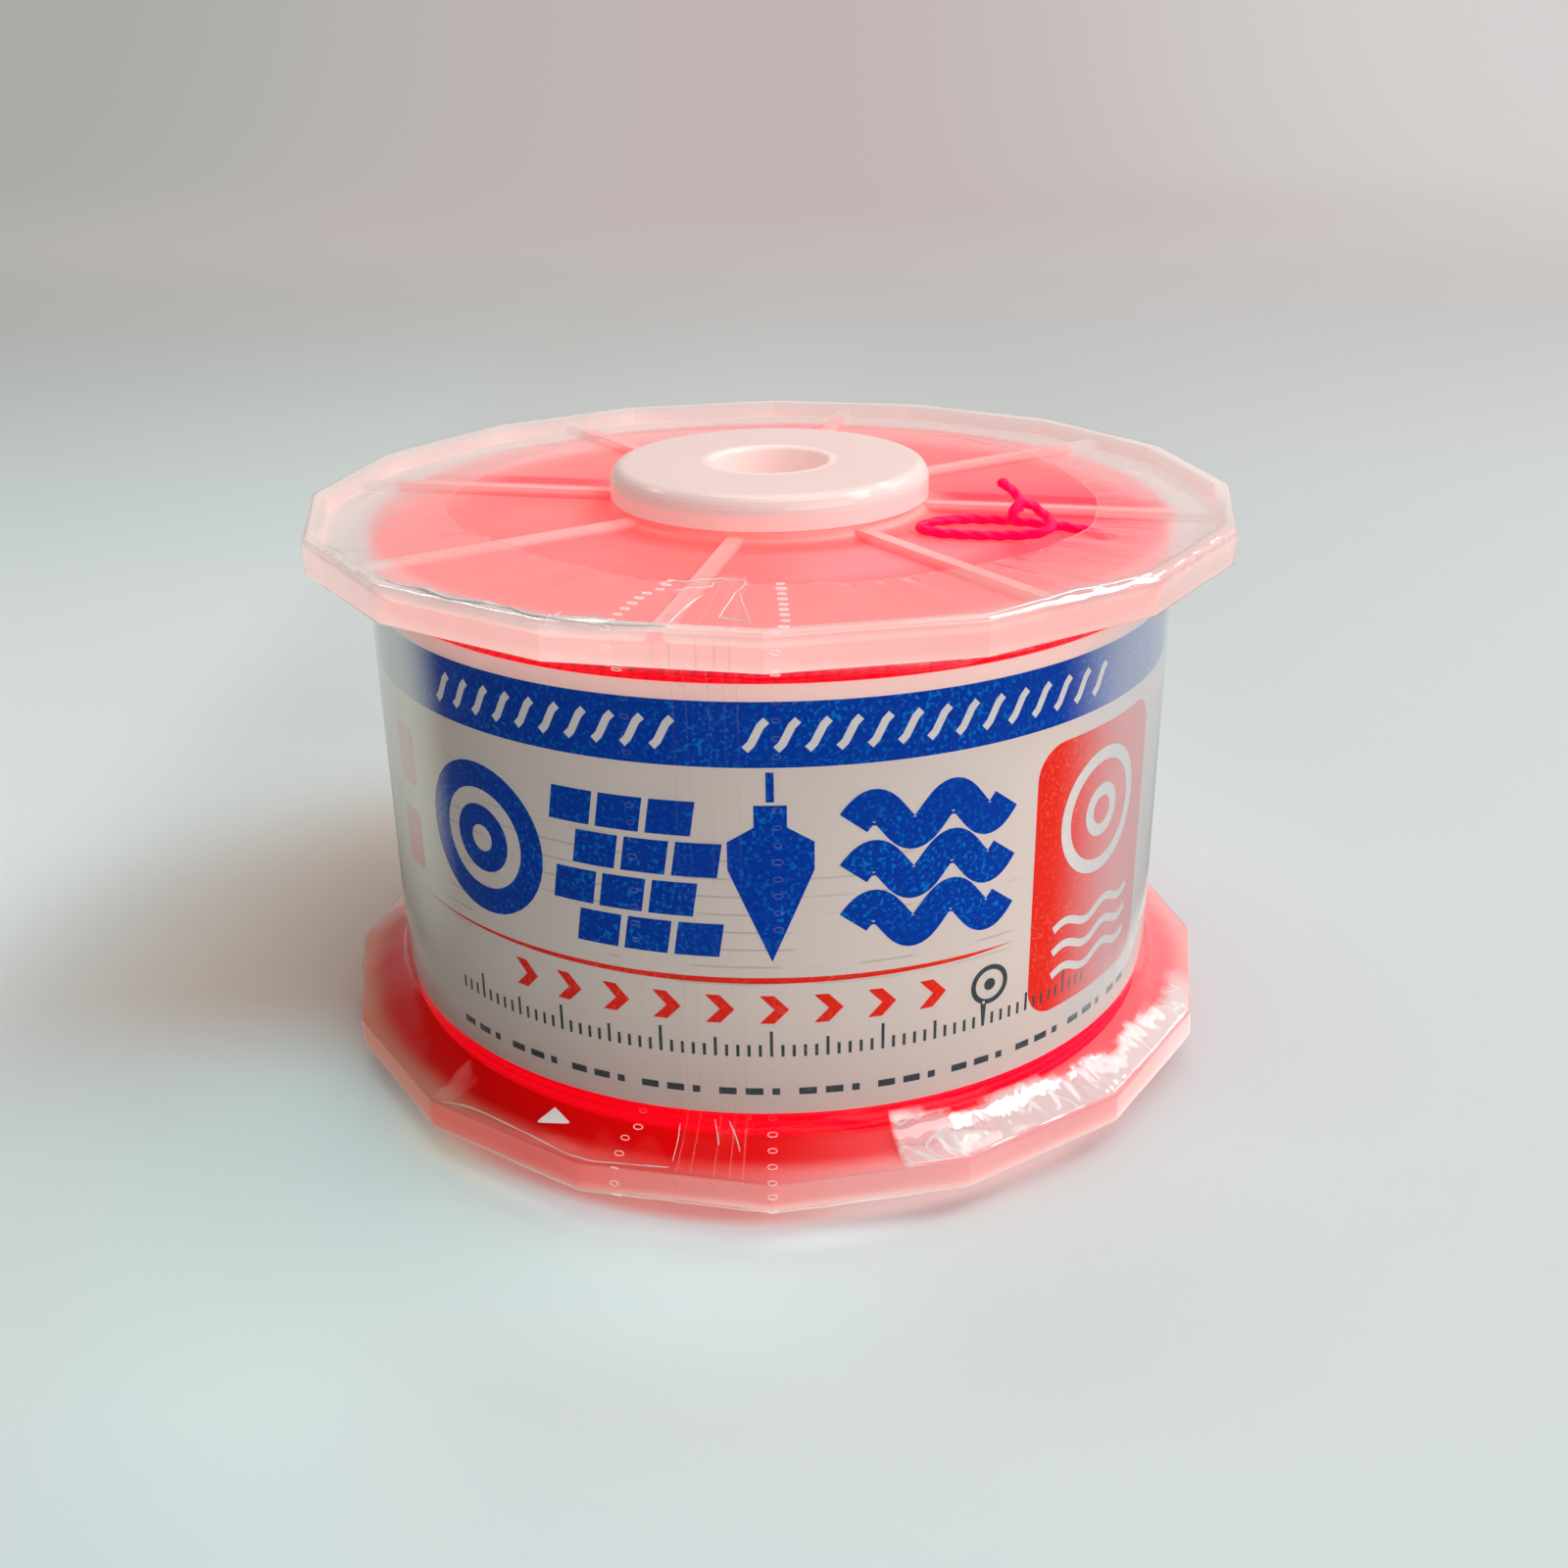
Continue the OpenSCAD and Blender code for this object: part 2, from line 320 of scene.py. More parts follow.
def smooth_route(points, steps):
    """A smooth curve through all the points, in metres."""
    p = [Vector(q) * mm for q in points]
    p = [p[0]] + p + [p[-1]]
    made = []
    for a, b, c, d in zip(p, p[1:], p[2:], p[3:]):
        for s in range(steps):
            t = s / steps
            made.append(0.5 * (2 * b + (c - a) * t + (2 * a - 5 * b + 4 * c - d) * t * t
                               + (3 * b - a - 3 * c + d) * t ** 3))
    return made + [p[-1]]


tail_path = smooth_route(route, 24)

# %% Twist three strands round the route
strand_r, lay, around = 0.48 * mm, 1.8 * mm, 24
side, run, points = Vector((1, 0, 0)), 0.0, []
for i, here in enumerate(tail_path):
    heading = (tail_path[min(i + 1, len(tail_path) - 1)] - tail_path[max(i - 1, 0)]).normalized()
    side = (side - heading * side.dot(heading)).normalized()
    other = heading.cross(side)
    run += (here - tail_path[i - 1]).length if i else 0
    for k in range(around):
        a = 2 * math.pi * k / around
        r = strand_r * (0.91 + 0.09 * math.cos(3 * a - 2 * math.pi * run / lay))
        points.append(here + side * (r * math.cos(a)) + other * (r * math.sin(a)))
tail = piece("line_end", points, ring_faces(len(tail_path), around))
print("line_end:", len(tail.data.polygons), "faces")

# %% A melted bead closes the end
b = bmesh.new()
bmesh.ops.create_icosphere(b, subdivisions=3, radius=0.6 * mm)
for v in b.verts:
    squashed = Vector((v.co.x, v.co.y, v.co.z * 0.85))
    v.co = squashed * (1 + 0.06 * noise.noise(v.co * 1500)) + tail_path[-1]
bead = piece("line_end_bead", [], [])
b.to_mesh(bead.data)
b.free()
shade(bead)
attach(bead, "reel")
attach(tail, "reel")
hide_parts("line_tail")
print("bead at", [round(c / mm, 1) for c in tail_path[-1]])

# %% [markdown]
# ## The bright line's finish
#
# The line is nylon dyed with a fluorescent pink. It gives back more red light
# than falls on it, so a part of its colour is emitted. Twisted strands also
# show as fine slanting stripes of light and dark. On the winding these come
# from a wave that follows each turn, by a texture map that the turns carry:
# one direction runs along the line in metres, the other round it.

# %% Finish of the line
def line_finish(name, hue, glow, lay=None):
    """Fluorescent nylon; with a lay, stripes of twisted strands follow the piece's map."""
    f = Finish(name)
    mottled = f.fade(f.noise(900, 4), 0.35, 0.75, 0.0, 0.35)
    colour = f.layers(hue, (f.zone(x=(-20, 40)), (hue[0], hue[1], hue[2] + 0.05)),
                      (mottled, (0.55, 0.0, 0.02)))
    inputs = {"Base Color": colour, "Roughness": 0.42, "Specular IOR Level": 0.15,
              "Emission Color": hue, "Emission Strength": glow}
    if lay:
        along, round_it = f.add("SeparateXYZ", {0: f.add("UVMap", uv_map="UVMap")[0]})[:2]
        turns = f.maths("ADD", f.maths("DIVIDE", along, lay), round_it)
        wave = f.maths("SINE", f.times(turns, 2 * math.pi))
        ridge = f.maths("MAXIMUM", f.fade(wave, -1.0, 0.4), f.zone(z=(9, 12, 0.85, 0)))
        # the dark stripes in the grooves between the strands are painted shade
        inputs["Base Color"] = f.blend(ridge, (0.42, 0.0, 0.015), colour)
        inputs["Normal"] = f.bump(ridge, 0.6, 0.1 * mm)
    return f.show(f.add("BsdfPrincipled", inputs)[0])


loose_line = line_finish("loose_line", (0.95, 0.0, 0.05), 0.6)
wound_line = line_finish("wound_line", (0.95, 0.0, 0.01), 0.5, lay=1.3 * mm)
for obj in (tail, bead):
    obj.data.materials.append(loose_line)
print("line finishes:", loose_line.name, wound_line.name)

# %% [markdown]
# ## The winding
#
# The winding is one long helix laid side by side over the whole width, and on
# its two ends, seen through the milky flanges, the layers show as a flat
# spiral. Both are curves with a round section, which is what Geometry Nodes
# does best: a spiral curve, a little wander from a noise, and a tube swept
# along it. The tree stores the length along the line and the angle round it as
# the map that the finish above reads. A plain turned body fills the inside.

# %% A tree that lays turns of line
def group(name, sizes):
    """An empty Geometry Nodes tree with named inputs, and a helper that adds nodes to it."""
    tree = bpy.data.node_groups.new(name, "GeometryNodeTree")
    tree.is_modifier = True
    for way in ("OUTPUT", "INPUT"):
        tree.interface.new_socket("Geometry", in_out=way, socket_type="NodeSocketGeometry")
    for label, (kind, value) in sizes.items():
        socket = tree.interface.new_socket(label, in_out="INPUT", socket_type="NodeSocket" + kind)
        if value is not None:
            socket.default_value = value
    return tree, lambda kind, inputs=None, **settings: add_node(tree, kind, inputs, settings).outputs


def run_tree(obj, tree, **values):
    """Puts the tree on the object with its inputs set, then makes the result plain."""
    modifier = obj.modifiers.new(tree.name, "NODES")
    modifier.node_group = tree
    for item in tree.interface.items_tree:
        key = item.name.replace(" ", "_")
        if item.in_out == "INPUT" and key in values:
            modifier[item.identifier] = values[key]
    return make_plain(obj)


turns_tree, add = group("laid_turns", {
    "Turns": ("Float", 55.0), "Start Radius": ("Float", 0.0392), "End Radius": ("Float", 0.0392),
    "Width": ("Float", 0.046), "Foot": ("Float", 0.0), "Line Radius": ("Float", 0.0004),
    "Wander": ("Float", 0.00006), "Seed": ("Int", 3), "Finish": ("Material", None)})
given = add("NodeGroupInput")
spiral = add("GeometryNodeCurveSpiral", {
    "Resolution": 96, "Rotations": given["Turns"], "Start Radius": given["Start Radius"],
    "End Radius": given["End Radius"], "Height": given["Width"]})[0]
place = add("GeometryNodeInputPosition")[0]
stray = add("ShaderNodeTexNoise", {"Vector": place, "W": given["Seed"], "Scale": 130.0, "Detail": 1.0},
            noise_dimensions="4D")["Color"]
centred = add("ShaderNodeVectorMath", {0: stray, 1: (0.5, 0.5, 0.5)}, operation="SUBTRACT")[0]
shift = add("ShaderNodeVectorMath", {0: centred, "Scale": given["Wander"]}, operation="SCALE")[0]
lift = add("ShaderNodeCombineXYZ", {"Z": given["Foot"]})[0]
offset = add("ShaderNodeVectorMath", {0: shift, 1: lift}, operation="ADD")[0]
strayed = add("GeometryNodeSetPosition", {"Geometry": spiral, "Offset": offset})[0]
ring = add("GeometryNodeCurvePrimitiveCircle", {"Resolution": 8, "Radius": given["Line Radius"]})[0]
kept = []
for curve, name, measure in ((strayed, "along", "Length"), (ring, "round", "Factor")):
    node = add_node(turns_tree, "GeometryNodeCaptureAttribute", {"Geometry": curve}, {"domain": "POINT"})
    node.capture_items.new("FLOAT", name)
    turns_tree.links.new(add("GeometryNodeSplineParameter")[measure], node.inputs[name])
    kept.append(node.outputs)
kept_line, kept_ring = kept
tube = add("GeometryNodeCurveToMesh", {"Curve": kept_line[0], "Profile Curve": kept_ring[0],
           "Fill Caps": True})[0]
pair = add("ShaderNodeCombineXYZ", {"X": kept_line["along"], "Y": kept_ring["round"]})[0]
mapped = add("GeometryNodeStoreNamedAttribute", {"Geometry": tube, "Name": "UVMap", "Value": pair},
             data_type="FLOAT2", domain="CORNER")[0]
real = add("GeometryNodeRealizeInstances", {"Geometry": mapped})[0]
finished = add("GeometryNodeSetMaterial", {"Geometry": real, "Material": given["Finish"]})[0]
add("NodeGroupOutput", {"Geometry": finished})
print("tree:", turns_tree.name, len(turns_tree.nodes), "nodes")

# %% Lay the turns on the side and on both ends
pitch = 2.02 * line_r
side_turns = (winding_high - winding_low - 2 * line_r) / pitch
end_turns = (winding_r - core_r - 3 * line_r) / pitch
side_r = winding_r - 1.1 * line_r
inner_turn, outer_turn = core_r + 1.2 * line_r, winding_r - 2 * line_r
laid = []
for name, turns, start, end, width, foot in (
        ("line_turns_side", side_turns, side_r, side_r,
         winding_high - winding_low - 2.2 * line_r, winding_low + 1.1 * line_r),
        ("line_turns_top", end_turns, inner_turn, outer_turn, 0.0, winding_high - 1.2 * line_r),
        ("line_turns_bottom", end_turns, inner_turn, outer_turn, 0.0, winding_low + 1.2 * line_r)):
    obj = piece(name, [], [])
    run_tree(obj, turns_tree, Turns=turns, Start_Radius=start, End_Radius=end, Width=width, Foot=foot,
             Line_Radius=line_r, Wander=0.12 * line_r, Seed=3, Finish=wound_line)
    laid.append(shade(obj))
print(f"{side_turns:.0f} turns wide, {end_turns:.0f} turns deep")

# %% The body of the winding
deep, steps = 1.5 * line_r, 192
out, low, high = winding_r - deep, winding_low + deep, winding_high - deep
profile = [(core_r, high), (out, high), (out, low), (core_r, low)]
points = [on_round(2 * math.pi * s / steps, r, z) for s in range(steps) for r, z in profile]
body = piece("line_body", points, ring_faces(steps, len(profile), closed=True),
             line_finish("packed_line", (0.9, 0.0, 0.01), 0.5))
for obj in laid + [body]:
    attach(obj, "reel")
    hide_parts("line_winding")
print("line_body:", len(body.data.polygons), "faces")

# %% [markdown]
# ## The paper label
#
# A strip of coated paper goes once round the winding, and its end is glued over
# its start at the back. It is made as a long strip that follows a radius which
# steps up by its own thickness at the lap, so the seam is a real edge.

# %% Make the label strip
paper_t = 0.12 * mm
paper_r = winding_r + 0.21 * mm
lap, lap_rise = math.radians(7), math.radians(4)


def label_radius(angle):
    """Outer radius of the paper; angle runs on past a full turn where it laps over itself."""
    rise = min(max((angle - (math.pi - lap) + lap_rise) / lap_rise, 0), 1)
    return paper_r + rise * (paper_t + 0.01 * mm)


strip = []
angles = np.linspace(-math.pi - lap, math.pi + lap, 400)
for a in angles:
    r = label_radius(a)
    strip += [on_round(a, r, label_high), on_round(a, r, label_low),
              on_round(a, r - paper_t, label_low), on_round(a, r - paper_t, label_high)]
label = piece("paper_label", strip, ring_faces(len(angles), 4), smooth=False)
print(f"label strip {2 * math.pi * paper_r / mm:.0f} by {(label_high - label_low) / mm:.1f} mm")

# %% [markdown]
# The paper is coated, so it is nearly smooth, but thin: the turns of line under
# it show through as faint level lines, and its colour is warmed by them. It is
# pinker near the upper edge and darker near the lower one.

# %% Finish of the paper
f = Finish("label_paper")
turn_lines = f.maths("SINE", f.times(f.z, 2 * math.pi / (1.7 * mm)))
faint = f.times(f.fade(turn_lines, 0.88, 1.0), f.fade(f.noise(160, 2), 0.5, 0.62),
                f.zone(z=(20, 24)), f.zone(z=(34, 38, 1, 0)), 0.5)
tone = f.layers(f.blend(f.noise(60, 4), (0.82, 0.66, 0.59), (0.86, 0.71, 0.64)),
                (f.zone(z=(40, 53, 0, 0.5)), (0.86, 0.62, 0.58)),
                (f.zone(z=(9, 22, 0.45, 0)), (0.62, 0.49, 0.44)),
                (faint, (0.42, 0.34, 0.28)))
# a faint pink glow near the upper edge: painted light from the pink rim above it
warm_light = f.blend(f.zone(z=(47, 50)), (0.0, 0.0, 0.0), (0.30, 0.11, 0.10))
label.data.materials.append(f.show(f.add("BsdfPrincipled", {
    "Base Color": tone, "Roughness": 0.5, "Emission Color": warm_light, "Emission Strength": 1.0,
    "Specular IOR Level": 0.2, "Normal": f.bump(f.noise(4000, 5), 0.15, 0.05 * mm)})[0]))
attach(label, "reel")
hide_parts("label_band")
print("label finished")

# %% [markdown]
# ## The print
#
# The printing is generic: a blue band, a red rule, pictures of what the line is
# for (a reel, courses of bricks, a plumb bob, a wave of cord), a red panel, and
# a ruler of small marks. Each ink is one piece. Its shapes are drawn flat, as
# closed outlines in millimetres along and up the label, filled, cut into narrow
# strips and bent round the paper, which keeps their edges sharp from any
# distance. A shape inside another is left blank.

# %% Drawing helpers
def box_of(x0, z0, x1, z1, lean=0.0):
    """A rectangle, or a slanted one."""
    return [(x0, z0), (x1, z0), (x1 + lean, z1), (x0 + lean, z1)]


def rounded(x0, z0, x1, z1, r, steps=8):
    """A rectangle with round corners."""
    made = []
    corners = ((x1 - r, z0 + r), (x1 - r, z1 - r), (x0 + r, z1 - r), (x0 + r, z0 + r))
    for quarter, (cx, cz) in enumerate(corners, start=-1):
        for s in range(steps + 1):
            a = math.radians(90 * (quarter + s / steps))
            made.append((cx + r * math.cos(a), cz + r * math.sin(a)))
    return made


def discs(cx, cz, radii, steps=40):
    """Round outlines about one centre."""
    angles = [2 * math.pi * s / steps for s in range(steps)]
    return [[(cx + r * math.cos(a), cz + r * math.sin(a)) for a in angles] for r in radii]


def ribbon(centre, width):
    """An outline of even width along a row of points."""
    left, right_side = [], []
    for i, (x, z) in enumerate(centre):
        x0, z0 = centre[max(i - 1, 0)]
        x1, z1 = centre[min(i + 1, len(centre) - 1)]
        n = math.hypot(x1 - x0, z1 - z0)
        dx, dz = (z0 - z1) / n * width / 2, (x1 - x0) / n * width / 2
        left.append((x + dx, z + dz))
        right_side.append((x - dx, z - dz))
    return left + right_side[::-1]


def wave(x0, x1, z, height, length, width, steps=60):
    """A ribbon that waves from x0 to x1."""
    along = [(x1 - x0) * s / steps for s in range(steps + 1)]
    return ribbon([(x0 + x, z + height * math.sin(2 * math.pi * x / length)) for x in along], width)


# %% Print shapes on the label
def printed(name, outlines, material, raised=0.02):
    """One ink: fills the outlines, cuts them into strips and bends them round the paper."""
    curve = bpy.data.curves.new(name, "CURVE")
    curve.dimensions, curve.fill_mode = "2D", "BOTH"
    for shape in outlines:
        spline = curve.splines.new("POLY")
        spline.points.add(len(shape) - 1)
        spline.points.foreach_set("co", [c for x, z in shape for c in (x, z, 0, 1)])
        spline.use_cyclic_u = True
    flat = bpy.data.objects.new(name, curve)
    bpy.context.scene.collection.objects.link(flat)
    b = bmesh.new()
    b.from_mesh(made_plain(flat))
    xs = [v.co.x for v in b.verts]
    for cut in np.arange(math.ceil(min(xs)), max(xs), 1.5):
        parts = b.verts[:] + b.edges[:] + b.faces[:]
        bmesh.ops.bisect_plane(b, geom=parts, plane_co=(cut, 0, 0), plane_no=(1, 0, 0))
    bmesh.ops.recalc_face_normals(b, faces=b.faces)
    for v in b.verts:
        a = v.co.x * mm / paper_r
        v.co = on_round(a, label_radius(a) + raised * mm, v.co.y * mm)
    for face in b.faces:
        centre = face.calc_center_median()
        if face.normal.dot(Vector((centre.x, centre.y, 0))) < 0:
            face.normal_flip()
    made = piece(name, [], [], material, smooth=False)
    b.to_mesh(made.data)
    b.free()
    bpy.data.objects.remove(flat)
    bpy.data.curves.remove(curve)
    thick = made.modifiers.new("ink", "SOLIDIFY")
    thick.thickness, thick.offset = 0.012 * mm, -1
    make_plain(made)
    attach(made, "reel")


def ink(name, dark, light):
    """Printing ink that covers unevenly, with fine specks of the lighter tone."""
    f = Finish(name)
    specks = f.times(f.fade(f.noise(2600, 3), 0.52, 0.66), f.fade(f.noise(120, 2), 0.35, 0.7, 0.35, 0.95))
    return f.show(f.add("BsdfPrincipled", {"Base Color": f.blend(specks, dark, light), "Roughness": 0.4,
                                           "Specular IOR Level": 0.04})[0])


blue_ink = ink("blue_ink", (0.0, 0.045, 0.39), (0.0, 0.20, 0.70))
red_ink = ink("red_ink", (0.96, 0.025, 0.012), (0.98, 0.10, 0.06))
grey_ink = ink("grey_ink", (0.06, 0.07, 0.08), (0.12, 0.13, 0.14))
pale_ink = ink("pale_ink", (0.84, 0.76, 0.73), (0.78, 0.70, 0.68))
print("inks ready")

# %% The blue print
half_round = math.pi * paper_r / mm - 6
# the band, and a reel seen from its end
blue = [box_of(-half_round, 43.0, half_round, 48.8)] + discs(-28.2, 32.4, (7.4, 4.9, 3.3, 1.3))
# courses of bricks
for row in range(4):
    z0 = 25.2 + 3.8 * row
    for k in range(3):
        x0 = -18.6 + 4.6 * k - (1.2 if row % 2 else -1.0)
        blue.append(box_of(x0, z0, x0 + 4.0, z0 + 3.2, 0.5))
# a plumb bob
blue += [[(-1.2, 39.6), (1.6, 39.6), (1.6, 37.6), (3.9, 36.2), (3.9, 33.6), (0.2, 24.8), (-3.5, 33.6),
          (-3.5, 36.2), (-1.2, 37.6)], box_of(-0.15, 39.9, 0.55, 42.6)]
# cords in waves
blue += [wave(7.2, 21.6, 28.2 + 4.7 * row, 1.5, 7.2, 3.0) for row in range(3)]
printed("print_blue", blue, blue_ink)

# %% The red print
red = [rounded(25.2, 14.0, 44.2, 41.2, 3.2),
       [(-42, 22.95), (-20, 22.7), (0, 22.6), (18, 22.8), (23.3, 23.1), (18, 23.15), (0, 23.2),
        (-20, 23.15)]]
arrow = [(0, 18.6), (1.3, 18.6), (2.6, 20.0), (1.3, 21.4), (0, 21.4), (1.3, 20.0)]
red += [[(x0 + x, z) for x, z in arrow] for x0 in (-25 + 4.8 * k for k in range(9))]
red += [rounded(-43.6, 33.6, -39.4, 39.6, 0.8), rounded(-43.6, 25.0, -39.4, 31.0, 0.8),
        box_of(-half_round, 22.7, -50, 23.15), box_of(50, 22.7, half_round, 23.15)]
printed("print_red", red, red_ink)

# %% The grey ruler marks
grey = []
for k in range(-33, 34):
    tall = 2.6 if k % 10 == 0 else 1.9 if k % 5 == 0 else 1.2
    grey.append(box_of(k - 0.14, 15.2, k + 0.14, 15.2 + tall))
for k in range(-14, 18):
    grey.append(box_of(k * 2.4, 11.2, k * 2.4 + (1.6 if k % 3 else 0.7), 11.9))
grey += discs(20.6, 19.4, (2.0, 1.5, 0.6))
printed("print_grey", grey, grey_ink)

# %% Pale shapes over the blue and the red
strand = [(0, 44.6), (0.5, 45.1), (0.9, 45.9), (1.3, 46.7), (1.8, 47.2)]
pale = [ribbon([(x0 + x, z) for x, z in strand], 0.7)
        for x0 in (-33 + 2.6 * k for k in range(26)) if not -8 < x0 < -3.5]
pale += discs(34.7, 32.6, (6.2, 4.9, 2.6, 1.4))
pale += [wave(28.2, 41.2, 17.6 + 2.4 * row, 0.5, 6.5, 0.8) for row in range(3)]
printed("print_pale", pale, pale_ink, raised=0.035)

# %% [markdown]
# ## The shrink film
#
# A tube of thin clear film was slipped over the reel and shrunk with hot air.
# It lies tight on the label, flares out to the rims, follows their sixteen
# sides, turns over their edges and ends in a ragged round mouth over each
# flange. The surface follows a rule, so it is a grid: columns go round the reel
# and rows run from the upper mouth to the lower one. Wrinkles are small shifts
# from noise, largest in the flares, where the film had most to shrink. Along the
# seam two layers are welded, with fine pleats in them.

# %% Columns and mouths of the film
film_gap = 0.06 * mm
film_r = winding_r + 0.45 * mm
film_t, seam_t, lip_r = 0.04 * mm, 0.07 * mm, 0.04 * mm
seam_from, seam_to = math.radians(-11.3), math.radians(-3.0)
pleats = [math.radians(d) for d in (-10.9, -9.3, -6.6, -4.8, -3.3)]
pleat_w = 0.0025
thetas = {2 * math.pi * k / 320 - math.pi for k in range(320)}
thetas |= {math.radians(12 + 0.4 * k) for k in range(156)}
thetas |= {edge + e for edge in (seam_from, seam_to) for e in (-0.0012, 0.0012)}
thetas |= {fold + e for fold in pleats for e in (-pleat_w, 0, pleat_w)}
thetas = sorted({round(angle, 6) for angle in thetas})

# the mouth's radius in millimetres at angles in degrees
mouth_points = [(-180, 31.2), (-140, 32.4), (-110, 31.4), (-79, 32.3), (-51, 29.8), (-29, 30.4),
                (-18.6, 31.7), (-11.4, 31.0), (-10.8, 29.6), (-3.4, 29.8), (-2.6, 31.4), (11.5, 32.0),
                (35.6, 32.3), (51, 32.7), (63, 33.1), (100, 31.5), (140, 32.6), (180, 31.2)]


def mouth_radius(angle):
    """Radius of the film's free edge, with a fine ragged line on it."""
    degrees, radii = zip(*mouth_points)
    plain = float(np.interp(math.degrees(angle), degrees, radii))
    return (plain + 0.35 * noise.noise(Vector((math.cos(angle) * 7, math.sin(angle) * 7, 3.1)))) * mm


print(len(thetas), "columns of film")

# %% Wrinkles
def hump(degrees, start, end, soft=8):
    """One between two angles, easing to nothing outside them."""
    return min(max((degrees - start) / soft, 0), 1) * min(max((end - degrees) / soft, 0), 1)


def wrinkle(angle, along, seed, size=1.0):
    """A value from -1 to 1 of folds that run down the flare, finer with a larger size."""
    turn_x, turn_y = math.cos(angle) * 9 * size, math.sin(angle) * 9 * size
    fold = noise.noise(Vector((turn_x * 1.6, turn_y * 1.6, along * 60 + seed)))
    fine = noise.noise(Vector((turn_x * 5, turn_y * 5, along * 260 + seed * 2)))
    return 0.65 * fold + 0.35 * fine


def crumple(angle, along):
    """Sharp facets where the film has gathered, at the lower right of the front."""
    strength = hump(math.degrees(angle), 20, 76)
    near, far = noise.voronoi(Vector((angle * 7, along * 260, 1.7)))[0][:2]
    return strength * (far - near - 0.35)


def seam_and_pleat(angle):
    """How far the seam stands out at an angle, and one on each fine fold that runs down it."""
    if not seam_from < angle < seam_to:
        return 0.0, 0.0
    return seam_t, max(0, *(1 - abs(angle - fold) / pleat_w for fold in pleats))


def slackness(angle):
    """How loosely the film turns over the rim's corner at an angle, from 0 to 1."""
    d = math.degrees(angle)
    chance = max(noise.noise(Vector((math.cos(angle) * 2.2, math.sin(angle) * 2.2, 7.7))) * 1.6, 0)
    slack = max(hump(d, 22, 84), 0.8 * hump(d, -66, -12, 5), 0.7 * chance)
    return slack * (1 + 0.35 * noise.noise(Vector((angle * 14, 0.4, 2.0))))


print("slack at the right of the front:", round(slackness(math.radians(50)), 2))

# %% [markdown]
# Half a column runs from a mouth over the flange's face, round the rim's corner,
# down its side and in along the flare. Each row is a radius, a distance below
# the rim's face, and two marks that the finish reads: how far the film is
# gathered there, and how far it is crumpled into a white sheet, whose white is
# partly painted glare.

# %% Rows of the film
face_rows = (0, 0.03, 0.08, 0.15, 0.25, 0.37, 0.5, 0.63, 0.75, 0.85, 0.93, 0.97)
corner_rows = 9
side_rows = (1.6, 2.1, 2.6, 3.0)
flare_rows = (0.05, 0.15, 0.3, 0.5, 0.75, 1.05, 1.4, 1.8, 2.3, 2.9, 3.6, 4.5, 5.6)
half_rows = len(face_rows) + corner_rows + len(side_rows) + len(flare_rows)
rim_h = rim_top - ceiling
# how far the crumpled sheet with its painted glare reaches down the lower flare, in millimetres, at angles
# in degrees
patch_angles = (13, 20, 25, 31, 36, 41, 46, 51, 57, 64, 76)
patch_reach = (3.0, 2.3, 1.6, 2.2, 2.1, 1.2, 1.7, 1.0, 1.5, 1.0, 0.8)


